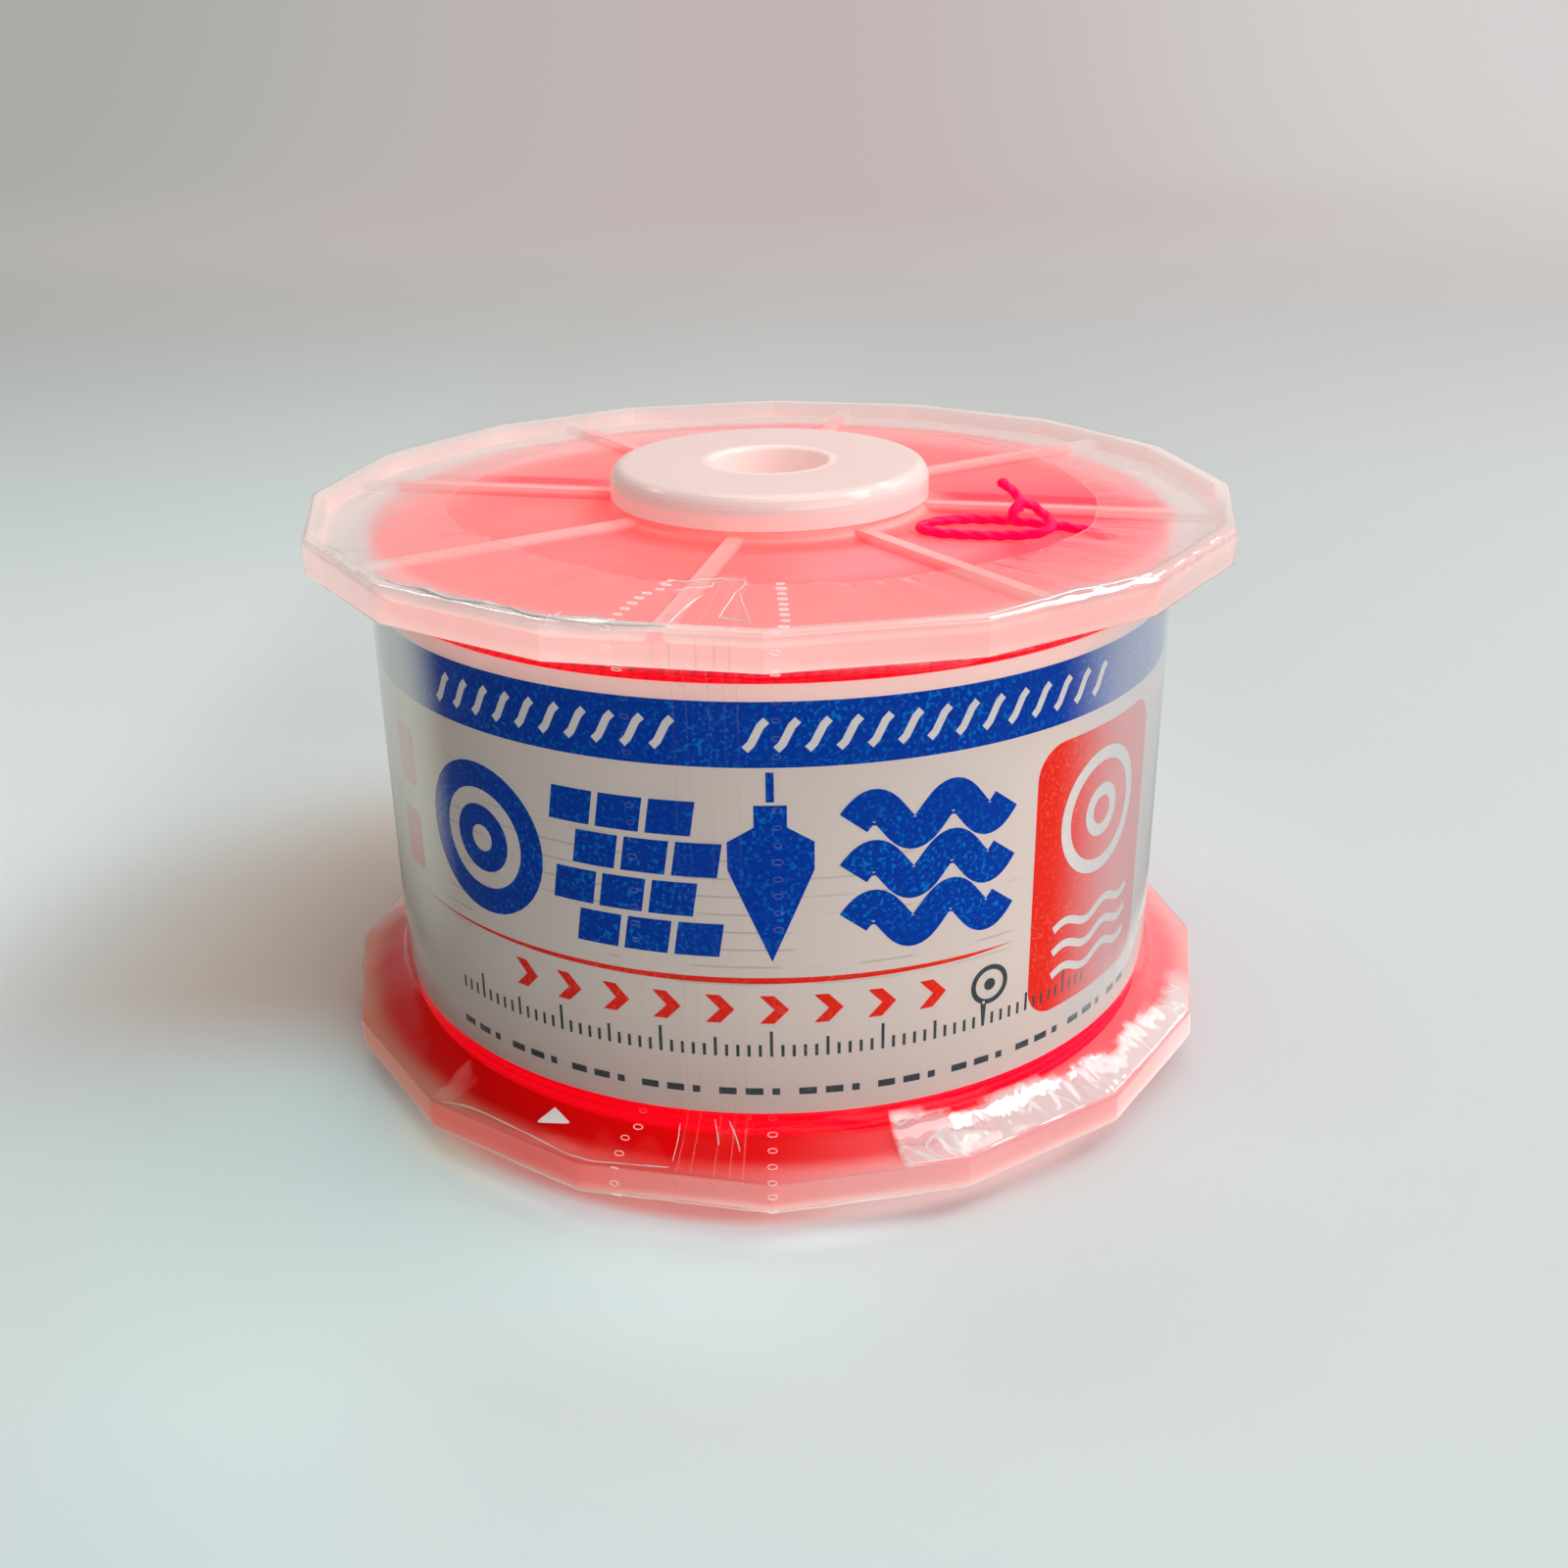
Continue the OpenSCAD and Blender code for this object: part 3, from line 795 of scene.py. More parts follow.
def film_half(angle, top):
    """Rows from the upper or lower mouth to the end of its flare."""
    d = math.degrees(angle)
    slack = slackness(angle if top else angle + 1.1)
    stand = 0.32 * mm * slack
    corner = (0.5 + 0.85 * slack) * mm
    out = outline(angle) + film_gap + stand
    mouth = mouth_radius(angle if top else -angle * 0.9 + 0.4)
    seam, folded = seam_and_pleat(angle)
    tucked = 0.012 + 0.32 * folded if seam else 0.0
    seam += 0.006 * mm * folded
    seed = 1.0 if top else 5.0
    # along the upper rim's left corner, creases whiten the film: a partly painted highlight
    creased_glint = hump(d, -66, -8, 5) * (0.5 + 1.6 * max(wrinkle(angle, 0.3, 31.0, 2), 0)) if top else 0.0
    rows = []
    for t in face_rows:
        sag = 0.45 * mm * (1 - t) ** 1.6 * (1 + 0.5 * wrinkle(angle, t * 0.01, seed))
        ripple = 0.14 * mm * wrinkle(angle, t * 0.02, seed + 9) * (1 - abs(2 * t - 1)) ** 0.5
        pulled = max(slack, 0.3 + 0.6 * hump(d, -88, -48))
        fold = 0.28 * mm * pulled * max(wrinkle(angle, t * 0.03, seed + 8, 2), 0) * max(t - 0.6, 0) / 0.4
        rows.append((mouth + (out - corner - mouth) * t, sag - ripple - seam - fold,
                     tucked + 0.3 * slack * (t > 0.8), 0.5 * tucked))
    for step in range(corner_rows):
        share = step / (corner_rows - 1)
        a = math.pi / 2 * share
        rough = 0.10 * mm * wrinkle(angle, 0.008 * step, seed + 3, 1.5) * (0.3 + slack)
        rows.append((out - corner * (1 - math.sin(a)) + seam + rough,
                     corner * (1 - math.cos(a)) - film_gap - stand,
                     (0.03 + 0.97 * slack) * (1 - share) + 0.35 * (not top),
                     creased_glint if step in (2, 3) else 0.0))
    for below in side_rows:
        rough = 0.04 * mm * wrinkle(angle, below * 0.004, seed + 4)
        rows.append((out - stand * (below - 1.4) / 1.6 + seam + max(rough, -0.03 * mm), below * mm,
                     tucked, 0.3 * tucked))
    taut = 0.0 if top else 1 - hump(d, 4, 84, 9)
    reach = float(np.interp(d, patch_angles, patch_reach)) + 0.3 * wrinkle(angle, 0.0, 21.0, 2)
    in_patch = 0.0 if top else hump(d, 14.8, 78, 0.8 if d < 45 else 8)
    for below in flare_rows:
        curved, straight = math.exp(-below / 1.18), max(1 - below / 3.1, 0) ** 1.2
        share = curved + (straight - curved) * taut
        loose = 4 * share * (1 - share)
        shift = 0.30 * wrinkle(angle, below * 0.004, seed)
        shift += 0.10 * wrinkle(angle, below * 0.01, seed + 2, 2)
        shift *= loose * (1 - 0.7 * taut)
        if not top:
            shift += 0.34 * crumple(angle, below * mm) * loose
        crumpled_glare = in_patch * min(max((reach - below) / 0.3, 0), 1)
        r = film_r + share * (out - film_r) + max(shift, -1.8 * share) * mm + seam
        wave_down = 0.25 * mm * loose * wrinkle(angle, below * 0.01, seed + 6) * (1 - 0.7 * taut)
        rows.append((max(r, film_r), rim_h + below * mm + wave_down,
                     0.4 * tucked + 0.45 * crumpled_glare, 0.3 * tucked + crumpled_glare))
    return rows


# %% The whole sheet
down = [7.5, 10, 13, 16, 19, 22]
low_face = 2 * middle - rim_top - film_gap
columns, marks = [], []
for a in thetas:
    column = [(r, rim_top + film_gap - d, *state) for r, d, *state in film_half(a, True)]
    seam, folded = seam_and_pleat(a)
    for d in down + [23.6] + [47.2 - e for e in reversed(down)]:
        ease = 0.05 * mm * max(wrinkle(a, d * 0.0006, 12.0), 0)
        ease += 0.03 * mm * hump(math.degrees(a), 32, 100) * max(wrinkle(a, d * 0.0004, 15.0, 4), 0)
        column.append((film_r + seam + ease + 0.01 * mm * folded, ceiling - d * mm,
                       0.02 + 0.10 * folded if seam else 0.0, 0.04 * folded))
    column += [(r, low_face + d, *state) for r, d, *state in reversed(film_half(a, False))]
    columns.append([on_round(a, r, z) for r, z, *state in column])
    marks += [state for r, z, *state in column]
rows = len(columns[0])
film = piece("shrink_wrap", [p for column in columns for p in column],
             grid_faces(len(columns), rows, closed=True))
for index, state_name in enumerate(("gathered", "crumpled_glare")):
    values = [mark[index] for mark in marks]
    film.data.attributes.new(state_name, "FLOAT", "POINT").data.foreach_set("value", values)
wall = film.modifiers.new("wall", "SOLIDIFY")
wall.thickness, wall.offset = film_t, -1
shade(make_plain(film))
print(rows, "rows of film")

# %% [markdown]
# The heat curled the film's two free edges into fine rounded lips. Where the
# film could not shrink evenly, it is pressed into sharp folds: across the seam on
# the upper face, along the rim's left corner, and down the lower flare. Lips and
# folds are thin tubes. The lips follow the first and last row of the film. Each
# fold is drawn in plan, in millimetres, and takes its height from the film.

# %% Lips and folds
around = 6


def small_ring(here, onward, radius):
    """A ring of points about a place on a path."""
    side = onward.cross(Vector((0, 0, 1))).normalized()
    up = side.cross(onward)
    turns = [2 * math.pi * k / around for k in range(around)]
    return [here + (side * math.cos(a) + up * math.sin(a)) * radius for a in turns]


def edge_bead(name, row):
    """A lip along one row of the film's grid."""
    centres = [column[row] for column in columns]
    n, points = len(centres), []
    for i, here in enumerate(centres):
        onward = (centres[(i + 1) % n] - centres[i - 1]).normalized()
        points += small_ring(here, onward, lip_r * (1 + 0.5 * noise.noise(here * 300)))
    return piece(name, points, ring_faces(n, around, closed=True))


def column_at(angle):
    """The film's points from mouth to mouth nearest to an angle."""
    return columns[min(range(len(thetas)), key=lambda i: abs(thetas[i] - angle))]


def on_film(x, y, low):
    """The point of the film above or below a place in plan: on the upper face or the lower flare."""
    column = column_at(math.atan2(x, -y))
    part = column[-half_rows:-half_rows + len(flare_rows)] if low else column[:len(face_rows) + 6]
    height = np.interp(math.hypot(x, y) * mm, [math.hypot(p.x, p.y) for p in part], [p.z for p in part])
    return Vector((x * mm, y * mm, float(height)))


def ridges(name, plans, radius, low=False):
    """One piece of tapered tubes that lie on the film."""
    points, faces = [], []
    for plan in plans:
        flat = smooth_route([(x, y, 0) for x, y in plan], 10)
        path = [on_film(p.x / mm, p.y / mm, low) for p in flat]
        last = len(path) - 1
        faces += ring_faces(len(path), around, first=len(points))
        for i, here in enumerate(path):
            onward = (path[min(i + 1, last)] - path[max(i - 1, 0)]).normalized()
            taper = 0.15 + 0.85 * math.sin(math.pi * i / last) ** 0.4
            points += small_ring(here, onward, radius * taper * (1 + 0.9 * noise.noise(here * 420)))
    return piece(name, points, faces)


lips = [edge_bead("film_lip_top", 0), edge_bead("film_lip_bottom", rows - 1)]
folds = [
    ridges("film_folds_seam", [
        [(-9.0, -31.0), (-8.0, -30.6), (-6.3, -30.8), (-4.7, -30.6), (-1.9, -31.3), (-2.0, -33.3),
         (-2.3, -33.9)], [(-2.3, -33.9), (-3.0, -38.4), (-3.5, -42.0)],
        [(-2.3, -33.9), (-1.6, -38.8), (-1.0, -43.4)], [(-3.5, -42.0), (-2.2, -42.5), (-1.0, -43.4)],
        [(-4.6, -30.7), (-4.5, -32.8), (-6.5, -33.5), (-7.6, -34.0)],
        [(-5.0, -35.2), (-6.2, -39.1), (-7.4, -43.8)], [(-17.1, -43.0), (-16.6, -41.5), (-16.0, -39.8)]],
        0.07 * mm),
    ridges("film_folds_corner", [
        [(-32.6, -30.8), (-31.0, -32.5), (-29.3, -33.2), (-26.2, -36.3), (-22.7, -38.3), (-21.1, -38.8),
         (-18.7, -41.2), (-15.9, -42.5), (-12.0, -43.6)], [(-13.0, -43.3), (-9.7, -43.7), (-7.4, -44.1)]],
        0.15 * mm),
    ridges("film_folds_flare", [
        [(-8.35, -40.2), (-8.5, -41.6), (-8.9, -43.4)], [(-5.2, -40.2), (-5.0, -41.2), (-4.8, -42.4)],
        [(-3.9, -40.4), (-3.2, -42.0), (-2.9, -43.1)],
        [(-31.3, -33.2), (-28.3, -34.6), (-22.7, -38.6), (-17.6, -42.2), (-13.5, -43.2), (-9.2, -43.9)]],
        0.07 * mm, low=True)]
print("lips and folds:", [len(obj.data.polygons) for obj in lips + folds])

# %% [markdown]
# Clear film shows mostly by what it mirrors, and it mirrors far more at a flat
# angle than straight on. A Layer Weight node gives that angle, its fifth power
# is the usual estimate of the mirrored share, and a trace of white haze keeps
# the film visible over dark ink.

# %% Finish of the film
painted_glint_x = -20.1 * mm


def clear_film(name, haze_and_sheen, rough):
    """Thin clear plastic: see-through, mirroring at flat angles and where it is gathered in layers."""
    f = Finish(name)
    gathered, crumpled_glare = (f.add("Attribute", attribute_name=mark)["Fac"]
                          for mark in ("gathered", "crumpled_glare"))
    # where the film is crumpled it turns white, more so to the right, with swirls of creases: partly
    # painted glare
    swirls = f.add("TexNoise", {"Vector": f.place, "Scale": 150.0, "Detail": 1.5, "Distortion": 1.2})[0]
    crease_glare = f.fade(f.maths("SINE", f.times(swirls, 26.0)), 0.80, 1.0, 0.0, 0.35)
    sheet_and_glare = f.times(crumpled_glare, f.maths("ADD", f.zone(x=(15, 23, 0.30, 0.54)), crease_glare))
    # a painted glint: a small three-cornered patch of white at the lower left of the front, where a dent
    # catches the light
    aside = f.maths("ABSOLUTE", f.maths("SUBTRACT", f.x, painted_glint_x))
    slanted = f.maths("MULTIPLY_ADD", f.maths("SUBTRACT", f.x, painted_glint_x), -0.14, f.z)
    below_top = f.maths("LESS_THAN", slanted, f.maths("MULTIPLY_ADD", aside, -0.42, 8.0 * mm))
    painted_glint = f.times(below_top, f.maths("GREATER_THAN", slanted, 7.32 * mm),
                   f.maths("LESS_THAN", aside, 1.5 * mm), f.maths("LESS_THAN", f.y, 0.0))
    on_face = f.zone(z=(56.2, 56.6, 0, 0.035))
    white = f.maths("MAXIMUM", f.maths("ADD", f.maths("ADD", sheet_and_glare, haze_and_sheen), on_face), painted_glint)
    clear = f.add("BsdfTransparent", {"Color": (0.985, 0.985, 0.985)})[0]
    veil = f.add("BsdfDiffuse", {"Color": f.blend(painted_glint, (0.84, 0.80, 0.79), (1.0, 0.95, 0.94))})[0]
    # round the sides of the label the film is seen nearly edge-on, and a glow there, darker at the left,
    # is a painted reflection of the room
    sides = f.maths("ADD", f.zone(x=(25, 33, 0, 0.30)), f.zone(x=(-34, -28.5, 0.5, 0), z=(14, 36)))
    sides = f.times(sides, f.zone(y=(-4, 6, 1, 0), z=(10, 13)), f.zone(z=(49, 50.5, 1, 0)))
    edge_sheen = f.blend(f.zone(x=(-10, 10)), (0.44, 0.46, 0.41), (0.66, 0.69, 0.70))
    body = f.mix(sides, f.mix(white, clear, veil), f.add("Emission", {"Color": edge_sheen})[0])
    flat_angle = f.maths("POWER", f.add("LayerWeight", {"Blend": 0.5})["Facing"], 5.0)
    mirrored = f.maths("MULTIPLY_ADD", flat_angle, 0.7, f.maths("MULTIPLY_ADD", gathered, 0.20, 0.003))
    gloss = f.add("BsdfGlossy", {"Color": (1, 1, 1), "Roughness": rough,
                                 "Normal": f.bump(f.noise(220, 4), 0.25, 0.3 * mm)})[0]
    return f.show(f.mix(mirrored, body, gloss))


film.data.materials.append(clear_film("shrink_film", 0.001, 0.05))
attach(film, "reel")
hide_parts("shrink_film")
lip_finish = clear_film("film_lip", 0.10, 0.15)
# the folds are nearly white: partly painted highlight along them
fold_finish = clear_film("film_fold", 0.70, 0.1)
for edge in lips + folds:
    edge.data.materials.append(lip_finish if edge in lips else fold_finish)
    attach(edge, "reel")
print("film finished")

# %% [markdown]
# ## Perforations
#
# Two lines of small holes let the air out when the film shrinks and let it be
# torn open. From the outside each hole is a light ring. A ring repeated along a
# line is work for Geometry Nodes: a mesh of bare points carries the way that
# the film faces, and a small ring is set on each point and turned to it.

# %% A tree that sets rings on points
rings_tree, add = group("punched_rings", {
    "Ring Radius": ("Float", 0.0004), "Wire": ("Float", 0.00005), "Seed": ("Int", 5),
    "Finish": ("Material", None)})
given = add("NodeGroupInput")
facing, round_way = (add("GeometryNodeInputNamedAttribute", {"Name": name}, data_type="FLOAT_VECTOR")[0]
                     for name in ("facing", "around"))
turned_to = add("FunctionNodeAlignRotationToVector", {"Vector": facing}, axis="Z")[0]
level_to = add("FunctionNodeAlignRotationToVector", {"Rotation": turned_to, "Vector": round_way}, axis="X",
               pivot_axis="Z")[0]
circle = add("GeometryNodeCurvePrimitiveCircle", {"Resolution": 12, "Radius": given["Ring Radius"]})[0]
wire = add("GeometryNodeCurvePrimitiveCircle", {"Resolution": 4, "Radius": given["Wire"]})[0]
flat_circle = add("GeometryNodeTransform", {"Geometry": circle, "Scale": (1.0, 0.58, 1.0)})[0]
ring = add("GeometryNodeCurveToMesh", {"Curve": flat_circle, "Profile Curve": wire})[0]
uneven = add("FunctionNodeRandomValue", {2: 0.75, 3: 1.1, "Seed": given["Seed"]}, data_type="FLOAT")[1]
dots = add("GeometryNodeInstanceOnPoints", {"Points": given["Geometry"], "Instance": ring,
           "Rotation": level_to, "Scale": uneven})[0]
real = add("GeometryNodeRealizeInstances", {"Geometry": dots})[0]
finished = add("GeometryNodeSetMaterial", {"Geometry": real, "Material": given["Finish"]})[0]
add("NodeGroupOutput", {"Geometry": finished})
print("tree:", rings_tree.name)

# %% Punch the two lines
def punched(name, upper_angle, lower_angle, spacing):
    """Rings at even spacing down the film, from one angle above to another below."""
    path = []
    for i in range(rows):
        a = upper_angle + (lower_angle - upper_angle) * i / (rows - 1)
        path.append(column_at(a)[i])
    spots, ways, rounds_at, travelled, due = [], [], [], 0.0, 0.0
    for start, end in zip(path, path[1:]):
        step = end - start
        while due <= travelled + step.length:
            here = start + step * ((due - travelled) / max(step.length, 1e-9))
            round_way = Vector((-here.y, here.x, 0)).normalized()
            way = step.normalized().cross(round_way)
            if way.dot(Vector((here.x, here.y, math.copysign(0.02, here.z - middle)))) < 0:
                way = -way
            spots.append(here + way * 0.03 * mm)
            ways.append(way)
            rounds_at.append(round_way)
            due += spacing
        travelled += step.length
    obj = piece(name, spots, [])
    for label, vectors in (("facing", ways), ("around", rounds_at)):
        obj.data.attributes.new(label, "FLOAT_VECTOR", "POINT").data.foreach_set(
            "vector", [c for vector in vectors for c in vector])
    run_tree(obj, rings_tree, Ring_Radius=0.42 * mm, Wire=0.04 * mm, Seed=5, Finish=hole_edge)
    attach(obj, "reel")


f = Finish("hole_edge")
# the rings' faint glow is painted light that keeps them pale
edge = f.add("BsdfPrincipled", {"Base Color": f.blend(f.noise(500, 1), (0.9, 0.78, 0.78), (1, 0.92, 0.9)),
             "Roughness": 0.25, "Emission Color": (1.0, 0.80, 0.77), "Emission Strength": 0.35})[0]
clear = f.add("BsdfTransparent", {"Color": (1, 1, 1)})[0]
from_middle = f.maths("ABSOLUTE", f.maths("SUBTRACT", f.z, middle))
hole_edge = f.show(f.mix(f.fade(from_middle, 20.8 * mm, 21.8 * mm, 0.05, 0.45), clear, edge))
punched("film_holes_left", math.radians(-15), math.radians(-18.8), 1.6 * mm)
punched("film_holes_right", math.radians(2.0), math.radians(-0.6), 1.6 * mm)

# %% [markdown]
# ## The milky plastic
#
# The moulded pieces are natural polypropylene: white like thin milk, and so
# clear in a thin wall that the pink line shows through the webs. Light also
# spreads inside the plastic, so it glows pink next to the line and fades to
# white at the rim. That pink light is painted into the colours and the glow.
# The finish is a mix of see-through and milky shading. The share of each
# follows how thick the plastic is at that radius and height.

# %% Finish of the moulded pieces
def milky(name, parts, rough=0.3, gleam=0.5):
    """Milky plastic. parts(finish) gives its colour, the colour and strength of its glow, and the
    share of light that it stops."""
    f = Finish(name)
    colour, shine, glow, cover = parts(f)
    solid = f.add("BsdfPrincipled", {
        "Base Color": colour, "Roughness": rough, "Emission Color": shine, "Emission Strength": glow,
        "Specular IOR Level": gleam, "Normal": f.bump(f.noise(700, 4), 0.12, 0.1 * mm)})[0]
    milk = f.mix(0.3, solid, f.add("BsdfTranslucent", {"Color": colour})[0])
    return f.show(f.mix(cover, f.add("BsdfTransparent", {"Color": (1, 0.97, 0.965)})[0], milk))


def upper_parts(f):
    """Pink near the line and the hub, white at the rim; thin in the web, thick elsewhere."""
    past_line, at_rim = f.zone(r=(38.6, 40.8)), f.zone(r=(42.8, 45.0))
    at_boss, upward = f.zone(r=(17, 19, 1, 0)), f.zone(z=(55.6, 56.4))
    front = f.zone(y=(-30, 0, 1, 0), x=(-14, 4))
    # painted light: behind the rib that runs from side to side the line shows as a brighter streak
    past_rib = f.maths("MULTIPLY_ADD", f.x, 0.195, f.times(f.y, 0.981))
    streak = f.times(f.fade(past_rib, 4.4 * mm, 5.4 * mm), f.fade(past_rib, 7.0 * mm, 8.4 * mm, 1.0, 0.0),
                     f.fade(f.maths("ABSOLUTE", f.x), 14 * mm, 20 * mm, 0.0, 0.9))
    hot = f.blend(f.zone(x=(-10, 10)), (0.97, 0.07, 0.12), (0.96, 0.0, 0.07))
    pale = f.blend(front, (0.95, 0.92, 0.89), (0.98, 0.62, 0.59))
    web = f.layers(
        f.blend(f.fade(f.noise(90, 3), 0.3, 0.7), (0.98, 0.25, 0.26), (0.97, 0.31, 0.30)),
        # deep pink at the right, red in front, lilac by the core, and pale at the far left
        (f.zone(x=(6, 24), r=(34, 42, 0.95, 0), y=(2, 12, 1, 0.3)), (0.97, 0.05, 0.15)),
        (f.zone(y=(-26, -16, 0.6, 0)), (0.98, 0.19, 0.18)),
        (f.zone(r=(25, 29, 0.7, 0), y=(-18, -11, 1, 0), x=(-2, 6)), (0.97, 0.40, 0.47)),
        (streak, hot),
        (f.zone(x=(-30, 4, 1, 0), y=(-26, 18), r=(29, 35, 0, 0.8)), (0.97, 0.50, 0.48)),
        (past_line, pale))
    on_rib = f.times(f.zone(z=(55.1, 55.7)), f.maths("SUBTRACT", 0.75, past_line))
    colour = f.layers(web, (at_rim, f.blend(upward, (1.0, 0.80, 0.74), pale)),
                      (at_boss, (1.0, 0.24, 0.23)), (on_rib, (1.0, 0.72, 0.68)))
    pale_shine = f.blend(front, (0.90, 0.82, 0.77), (0.85, 0.48, 0.45))
    # the rim's side glows strongly, most at the left: painted light that lifts its shaded side
    side_shine = f.blend(f.zone(x=(-20, 34)), (2.20, 1.45, 1.37), (0.97, 0.54, 0.50))
    shine = f.layers((1.0, 0.42, 0.42), (streak, hot), (past_line, (0.75, 0.72, 0.69)),
                     (at_rim, f.blend(upward, side_shine, pale_shine)), (at_boss, (1.0, 0.20, 0.20)))
    cover = f.maths("MULTIPLY_ADD", at_rim, 0.24, f.maths("MULTIPLY_ADD", past_line, -0.30, 0.72))
    return colour, shine, 0.25, f.maths("MAXIMUM", cover, f.times(at_boss, 0.85))


def lower_parts(f):
    """Bright red beside the winding, paler outside it, and a clear pink down the rim's side."""
    at_boss, on_face = f.zone(r=(17, 19, 1, 0)), f.zone(z=(5.7, 6.1))
    # the outer face is paler at the right and dark brown at the far left: painted light and shade
    outside = f.layers((0.85, 0.07, 0.06), (f.zone(x=(-10, 12)), (0.97, 0.36, 0.36)),
                       (f.zone(x=(-34, -16, 1, 0)), (0.50, 0.20, 0.13)))
    # the face beside the winding is darker red at the left and salmon at the right: painted shade and
    # light
    face = f.layers((0.56, 0.0, 0.0), (f.zone(x=(-30, -8)), (0.82, 0.0, 0.001)),
                    (f.zone(x=(-4, 26)), (1.0, 0.22, 0.25)), (f.zone(r=(42.3, 45.4)), outside))
    # the rim's side is darker at the left and paler at the right: painted shade and light
    side = f.layers((1.0, 0.38, 0.36), (f.zone(x=(-2, 10)), (1.0, 0.47, 0.46)),
                    (f.zone(z=(3.1, 4.0, 1, 0)), (1.0, 0.66, 0.63)),
                    (f.zone(x=(-24, -4, 1, 0)), (0.95, 0.20, 0.17)),
                    (f.zone(x=(-40, -26, 1, 0)), (0.80, 0.25, 0.15)),
                    (f.zone(x=(30, 42)), (0.98, 0.72, 0.72)))
    colour = f.layers((0.95, 0.30, 0.28), (f.zone(r=(42.0, 44.6)), side), (on_face, face),
                      (at_boss, (1.0, 0.24, 0.23)))
    cover = f.maths("MULTIPLY_ADD", at_boss, 0.45, 0.42)
    cover = f.maths("MAXIMUM", cover, f.zone(r=(42.5, 45.0, 0, 0.66)))
    cover = f.maths("MAXIMUM", cover, f.times(on_face, f.zone(r=(43.0, 45.6, 1, 0.70))))
    # the glow grows towards the rim: painted light that lifts its shaded side
    return colour, colour, f.zone(r=(42.5, 45.5, 0.18, 0.36)), cover


def hub_parts(f):
    """Nearly white, with pink light from the line in its edge and deep in the hole."""
    from_middle = f.maths("ABSOLUTE", f.maths("SUBTRACT", f.z, middle))
    low = f.fade(from_middle, 27.9 * mm, 28.15 * mm, 1.0, 0.0)
    in_hole = f.zone(r=(6.4, 7.0, 1, 0))
    deep = f.times(in_hole, f.fade(from_middle, 8.0 * mm, 27.0 * mm, 1.0, 0.0))
    # the hole's wall is paler and glows a little more: painted light that lifts its shade
    rosy = f.layers((0.82, 0.77, 0.74), (low, (0.98, 0.77, 0.74)), (in_hole, (0.92, 0.84, 0.80)),
                    (deep, (1.0, 0.45, 0.42)))
    return rosy, rosy, f.maths("MULTIPLY_ADD", in_hole, 0.08, 0.13), 0.95


upper_plastic = milky("upper_plastic", upper_parts)
lower_plastic = milky("lower_plastic", lower_parts, gleam=0.15)
hub_plastic = milky("hub_plastic", hub_parts, rough=0.1)
for node, material in (("lower_reel_half", lower_plastic), ("upper_reel_half", upper_plastic),
                       ("hub_lower", hub_plastic), ("hub_upper", hub_plastic)):
    for slot in frame["nodes"][node].material_slots:
        slot.link = "OBJECT"
        slot.material = material
    print(node, "->", material.name)

# %% [markdown]
# ## The table and the light
#
# The reel stands on a pale, slightly blue table. The floor runs far back and up
# into a wall, with no edge between them. Light comes from a large window high
# on the right, so the soft shadow falls to the left. A broad panel above gives
# the long highlights on the rims. Round the reel and far back, the floor also
# holds painted light and shade in its colour and glow.

# %% Floor and backdrop
f = Finish("table_top")
# the floor grows darker towards the right, where the window lights it most: painted shade that evens out
# its light
front_colour = f.blend(f.zone(x=(-100, 100)), (0.52, 0.66, 0.67), (0.51, 0.575, 0.58))
side_colour = f.layers(
    (0.76, 0.82, 0.82), (f.zone(y=(60, 250)), (0.68, 0.78, 0.76)),
    (f.zone(x=(-105, -75)), (0.66, 0.72, 0.72)), (f.zone(x=(-20, 80)), (0.535, 0.585, 0.59)),
    # close to the reel: painted pink light at its right, and a painted warm shadow at its left
    (f.zone(r=(50, 80, 1, 0), x=(0, 30), y=(-40, -15)), (0.55, 0.56, 0.58)),
    (f.times(f.zone(r=(56, 102, 1, 0), x=(-40, -10, 1, 0), y=(-20, 0)), f.zone(y=(35, 80, 1, 0))),
     (0.61, 0.535, 0.465)))
# far back the floor and the wall are much darker at the left: painted shade
rosy = f.times(f.fade(f.maths("ABSOLUTE", f.x), 0.0, 0.65, 0.8, 0.0), f.zone(y=(300, 1000)))
far_colour = f.layers((0.40, 0.41, 0.39), (f.zone(x=(-700, 500)), (0.66, 0.64, 0.63)),
                      (rosy, (0.53, 0.44, 0.43)))
# painted light that comes through the reel's foot: pink under the rim, pale just in front of it
in_front = f.zone(y=(-35, -20, 1, 0))
under_rim = f.times(f.zone(r=(42.5, 44.8, 1, 0)), in_front)
beyond_rim = f.times(f.zone(r=(45.0, 48.5, 1, 0), x=(0, 18, 1, 0)), in_front)
tone = f.layers(front_colour, (f.zone(y=(-140, -20)), side_colour), (f.zone(y=(-150, 1200)), far_colour),
                (under_rim, (0.72, 0.43, 0.39)))
glow = f.layers(
    (0.0, 0.0, 0.0),
    # painted light that lifts the floor's shade close in front of the reel and at its front left
    (f.zone(r=(55, 105, 1, 0), x=(-45, -15, 1, 0), y=(-35, -10, 1, 0)), (0.06, 0.13, 0.115)),
    (f.zone(r=(48, 70, 1, 0), y=(-35, 0, 1, 0), x=(-20, 35, 1, 0.15)), (0.09, 0.19, 0.185)),
    (beyond_rim, f.blend(f.zone(x=(-35, -18)), (0.17, 0.22, 0.15), (0.25, 0.33, 0.34))),
    (under_rim, f.blend(f.zone(x=(-4, 10)), (0.19, 0.14, 0.125), (0.20, 0.36, 0.36))))
top = f.add("BsdfPrincipled", {"Base Color": tone, "Roughness": 0.55, "Emission Color": glow,
            "Emission Strength": 1.0, "Normal": f.bump(f.noise(1400, 3), 0.05, 0.2 * mm)})[0]
path = f.add("LightPath")
looked_at = f.maths("MAXIMUM", path["Is Camera Ray"], path["Is Glossy Ray"])
seen = f.add("Emission", {"Color": far_colour})[0]
backdrop = f.mix(f.times(looked_at, f.zone(y=(100, 800))), top, seen)
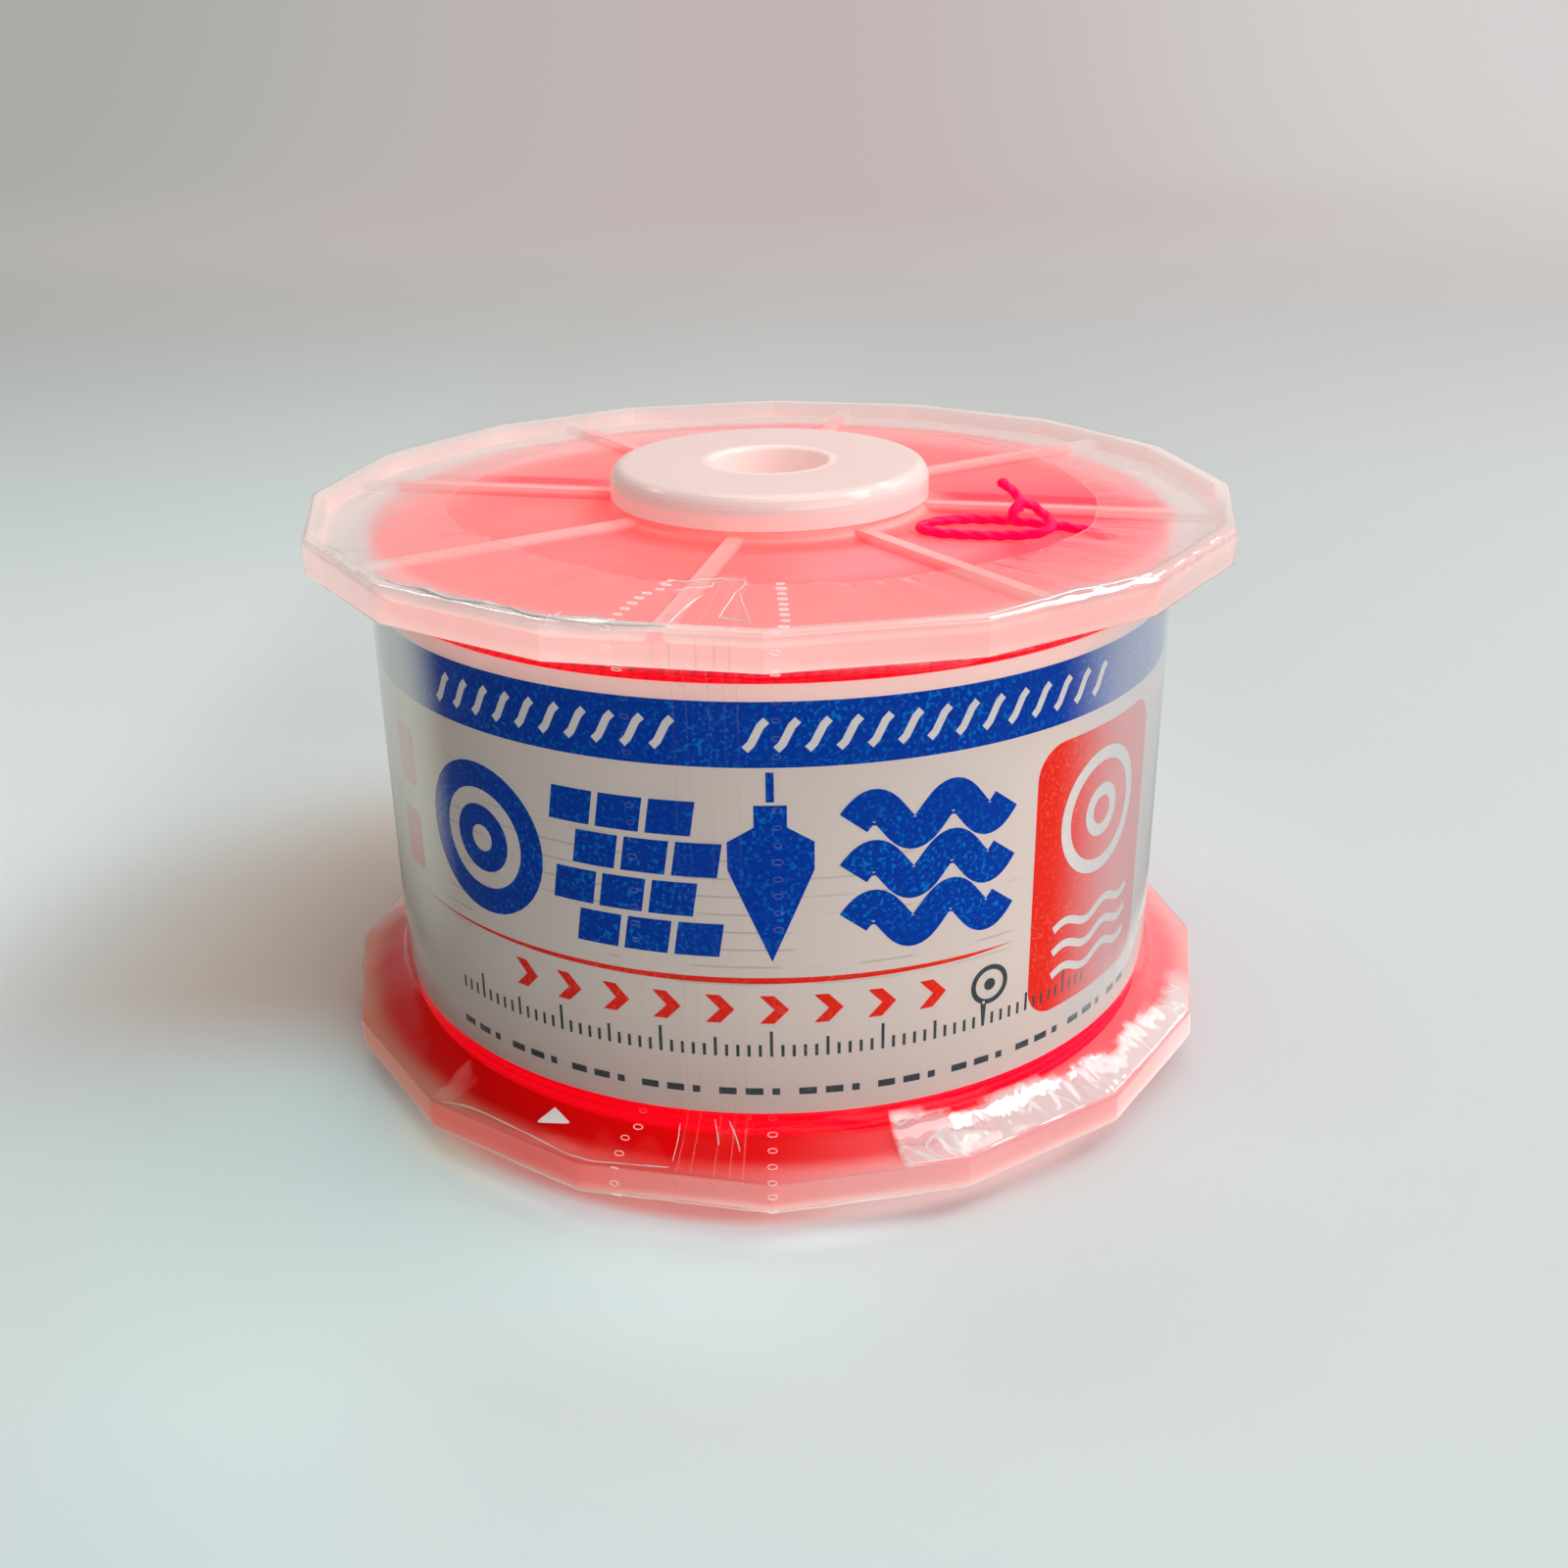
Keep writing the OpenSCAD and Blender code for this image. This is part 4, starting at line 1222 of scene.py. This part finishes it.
# a painted reflection: in what the reel mirrors, the floor is bright in a ring close round it and dark
# beyond
lit_ring = f.blend(f.zone(x=(-45, 35)), (0.42, 0.34, 0.29), (1.35, 1.22, 1.08))
mirrored = f.add("Emission", {"Color": f.blend(f.zone(r=(50, 60)), lit_ring, (0.10, 0.11, 0.11))})[0]
near_in_gloss = f.times(path["Is Glossy Ray"], f.zone(y=(-50, 150, 1, 0)))
table_top = f.show(f.mix(near_in_gloss, backdrop, mirrored))
curve_up = [(1.2 + 0.5 * math.sin(a), 0.5 - 0.5 * math.cos(a)) for a in np.linspace(0.1, math.pi / 2, 12)]
profile = [(-1.0, 0.0), (1.2, 0.0)] + curve_up + [(1.7, 2.0)]
points = [(x, y, z) for x in (2.5, -2.5) for y, z in profile]
piece("table", points, grid_faces(2, len(profile)), table_top)
print("table set")

# %% Lamps and world
for name, stand, width, height, power, colour in (
        ("window", (0.54, 0.0, 0.62), 0.36, 0.32, 2.5, (1.0, 0.99, 0.97)),
        ("back_window", (0.607, 0.323, 0.53), 0.42, 0.35, 1.1, (1.0, 0.99, 0.98)),
        ("left_window", (-0.454, 0.24, 0.643), 0.08, 0.32, 0.36, (1.0, 0.99, 0.98)),
        ("back_strip", (0.20, 0.72, 0.72), 0.5, 0.06, 0.55, (1.0, 0.99, 0.98)),
        ("overhead", (0.08, 0.06, 0.85), 0.95, 0.6, 3.4, (1.0, 0.98, 0.97)),
        ("front_fill", (0.48, -0.62, 0.36), 0.7, 0.5, 3.4, (0.97, 0.99, 1.0))):
    light = bpy.data.lights.new(name, "AREA")
    light.shape, light.size, light.size_y = "RECTANGLE", width, height
    light.energy, light.color = power, colour
    lamp = bpy.data.objects.new(name, light)
    bpy.context.scene.collection.objects.link(lamp)
    lamp.location = stand
    toward = Vector((0, 0, middle)) - Vector(stand)
    lamp.rotation_euler = toward.to_track_quat("-Z", "Y").to_euler()

world = bpy.data.worlds.new("studio")
bpy.context.scene.world = world
world.use_nodes = True
sky = Graph(world.node_tree)
to_x, to_y = sky.add("SeparateXYZ", {0: sky.add("TexCoord")["Generated"]})[:2]
strength = sky.times(sky.ramp(to_y, -0.6, 1.0, 0.10, 0.46), sky.ramp(to_x, -0.9, 0.3, 0.45, 1.1))
tint = sky.blend(sky.ramp(to_x, -0.8, 0.2), (1.0, 0.80, 0.66), (0.90, 0.95, 0.97))
lit = sky.add("Background", {"Color": tint, "Strength": strength})[0]
plain = sky.add("Background", {"Color": (0.58, 0.58, 0.57)})[0]
sky.add("OutputWorld", {"Surface": sky.mix(sky.add("LightPath")["Is Camera Ray"], lit, plain)})
bpy.context.scene.view_settings.view_transform = "Standard"
print("lamps set")
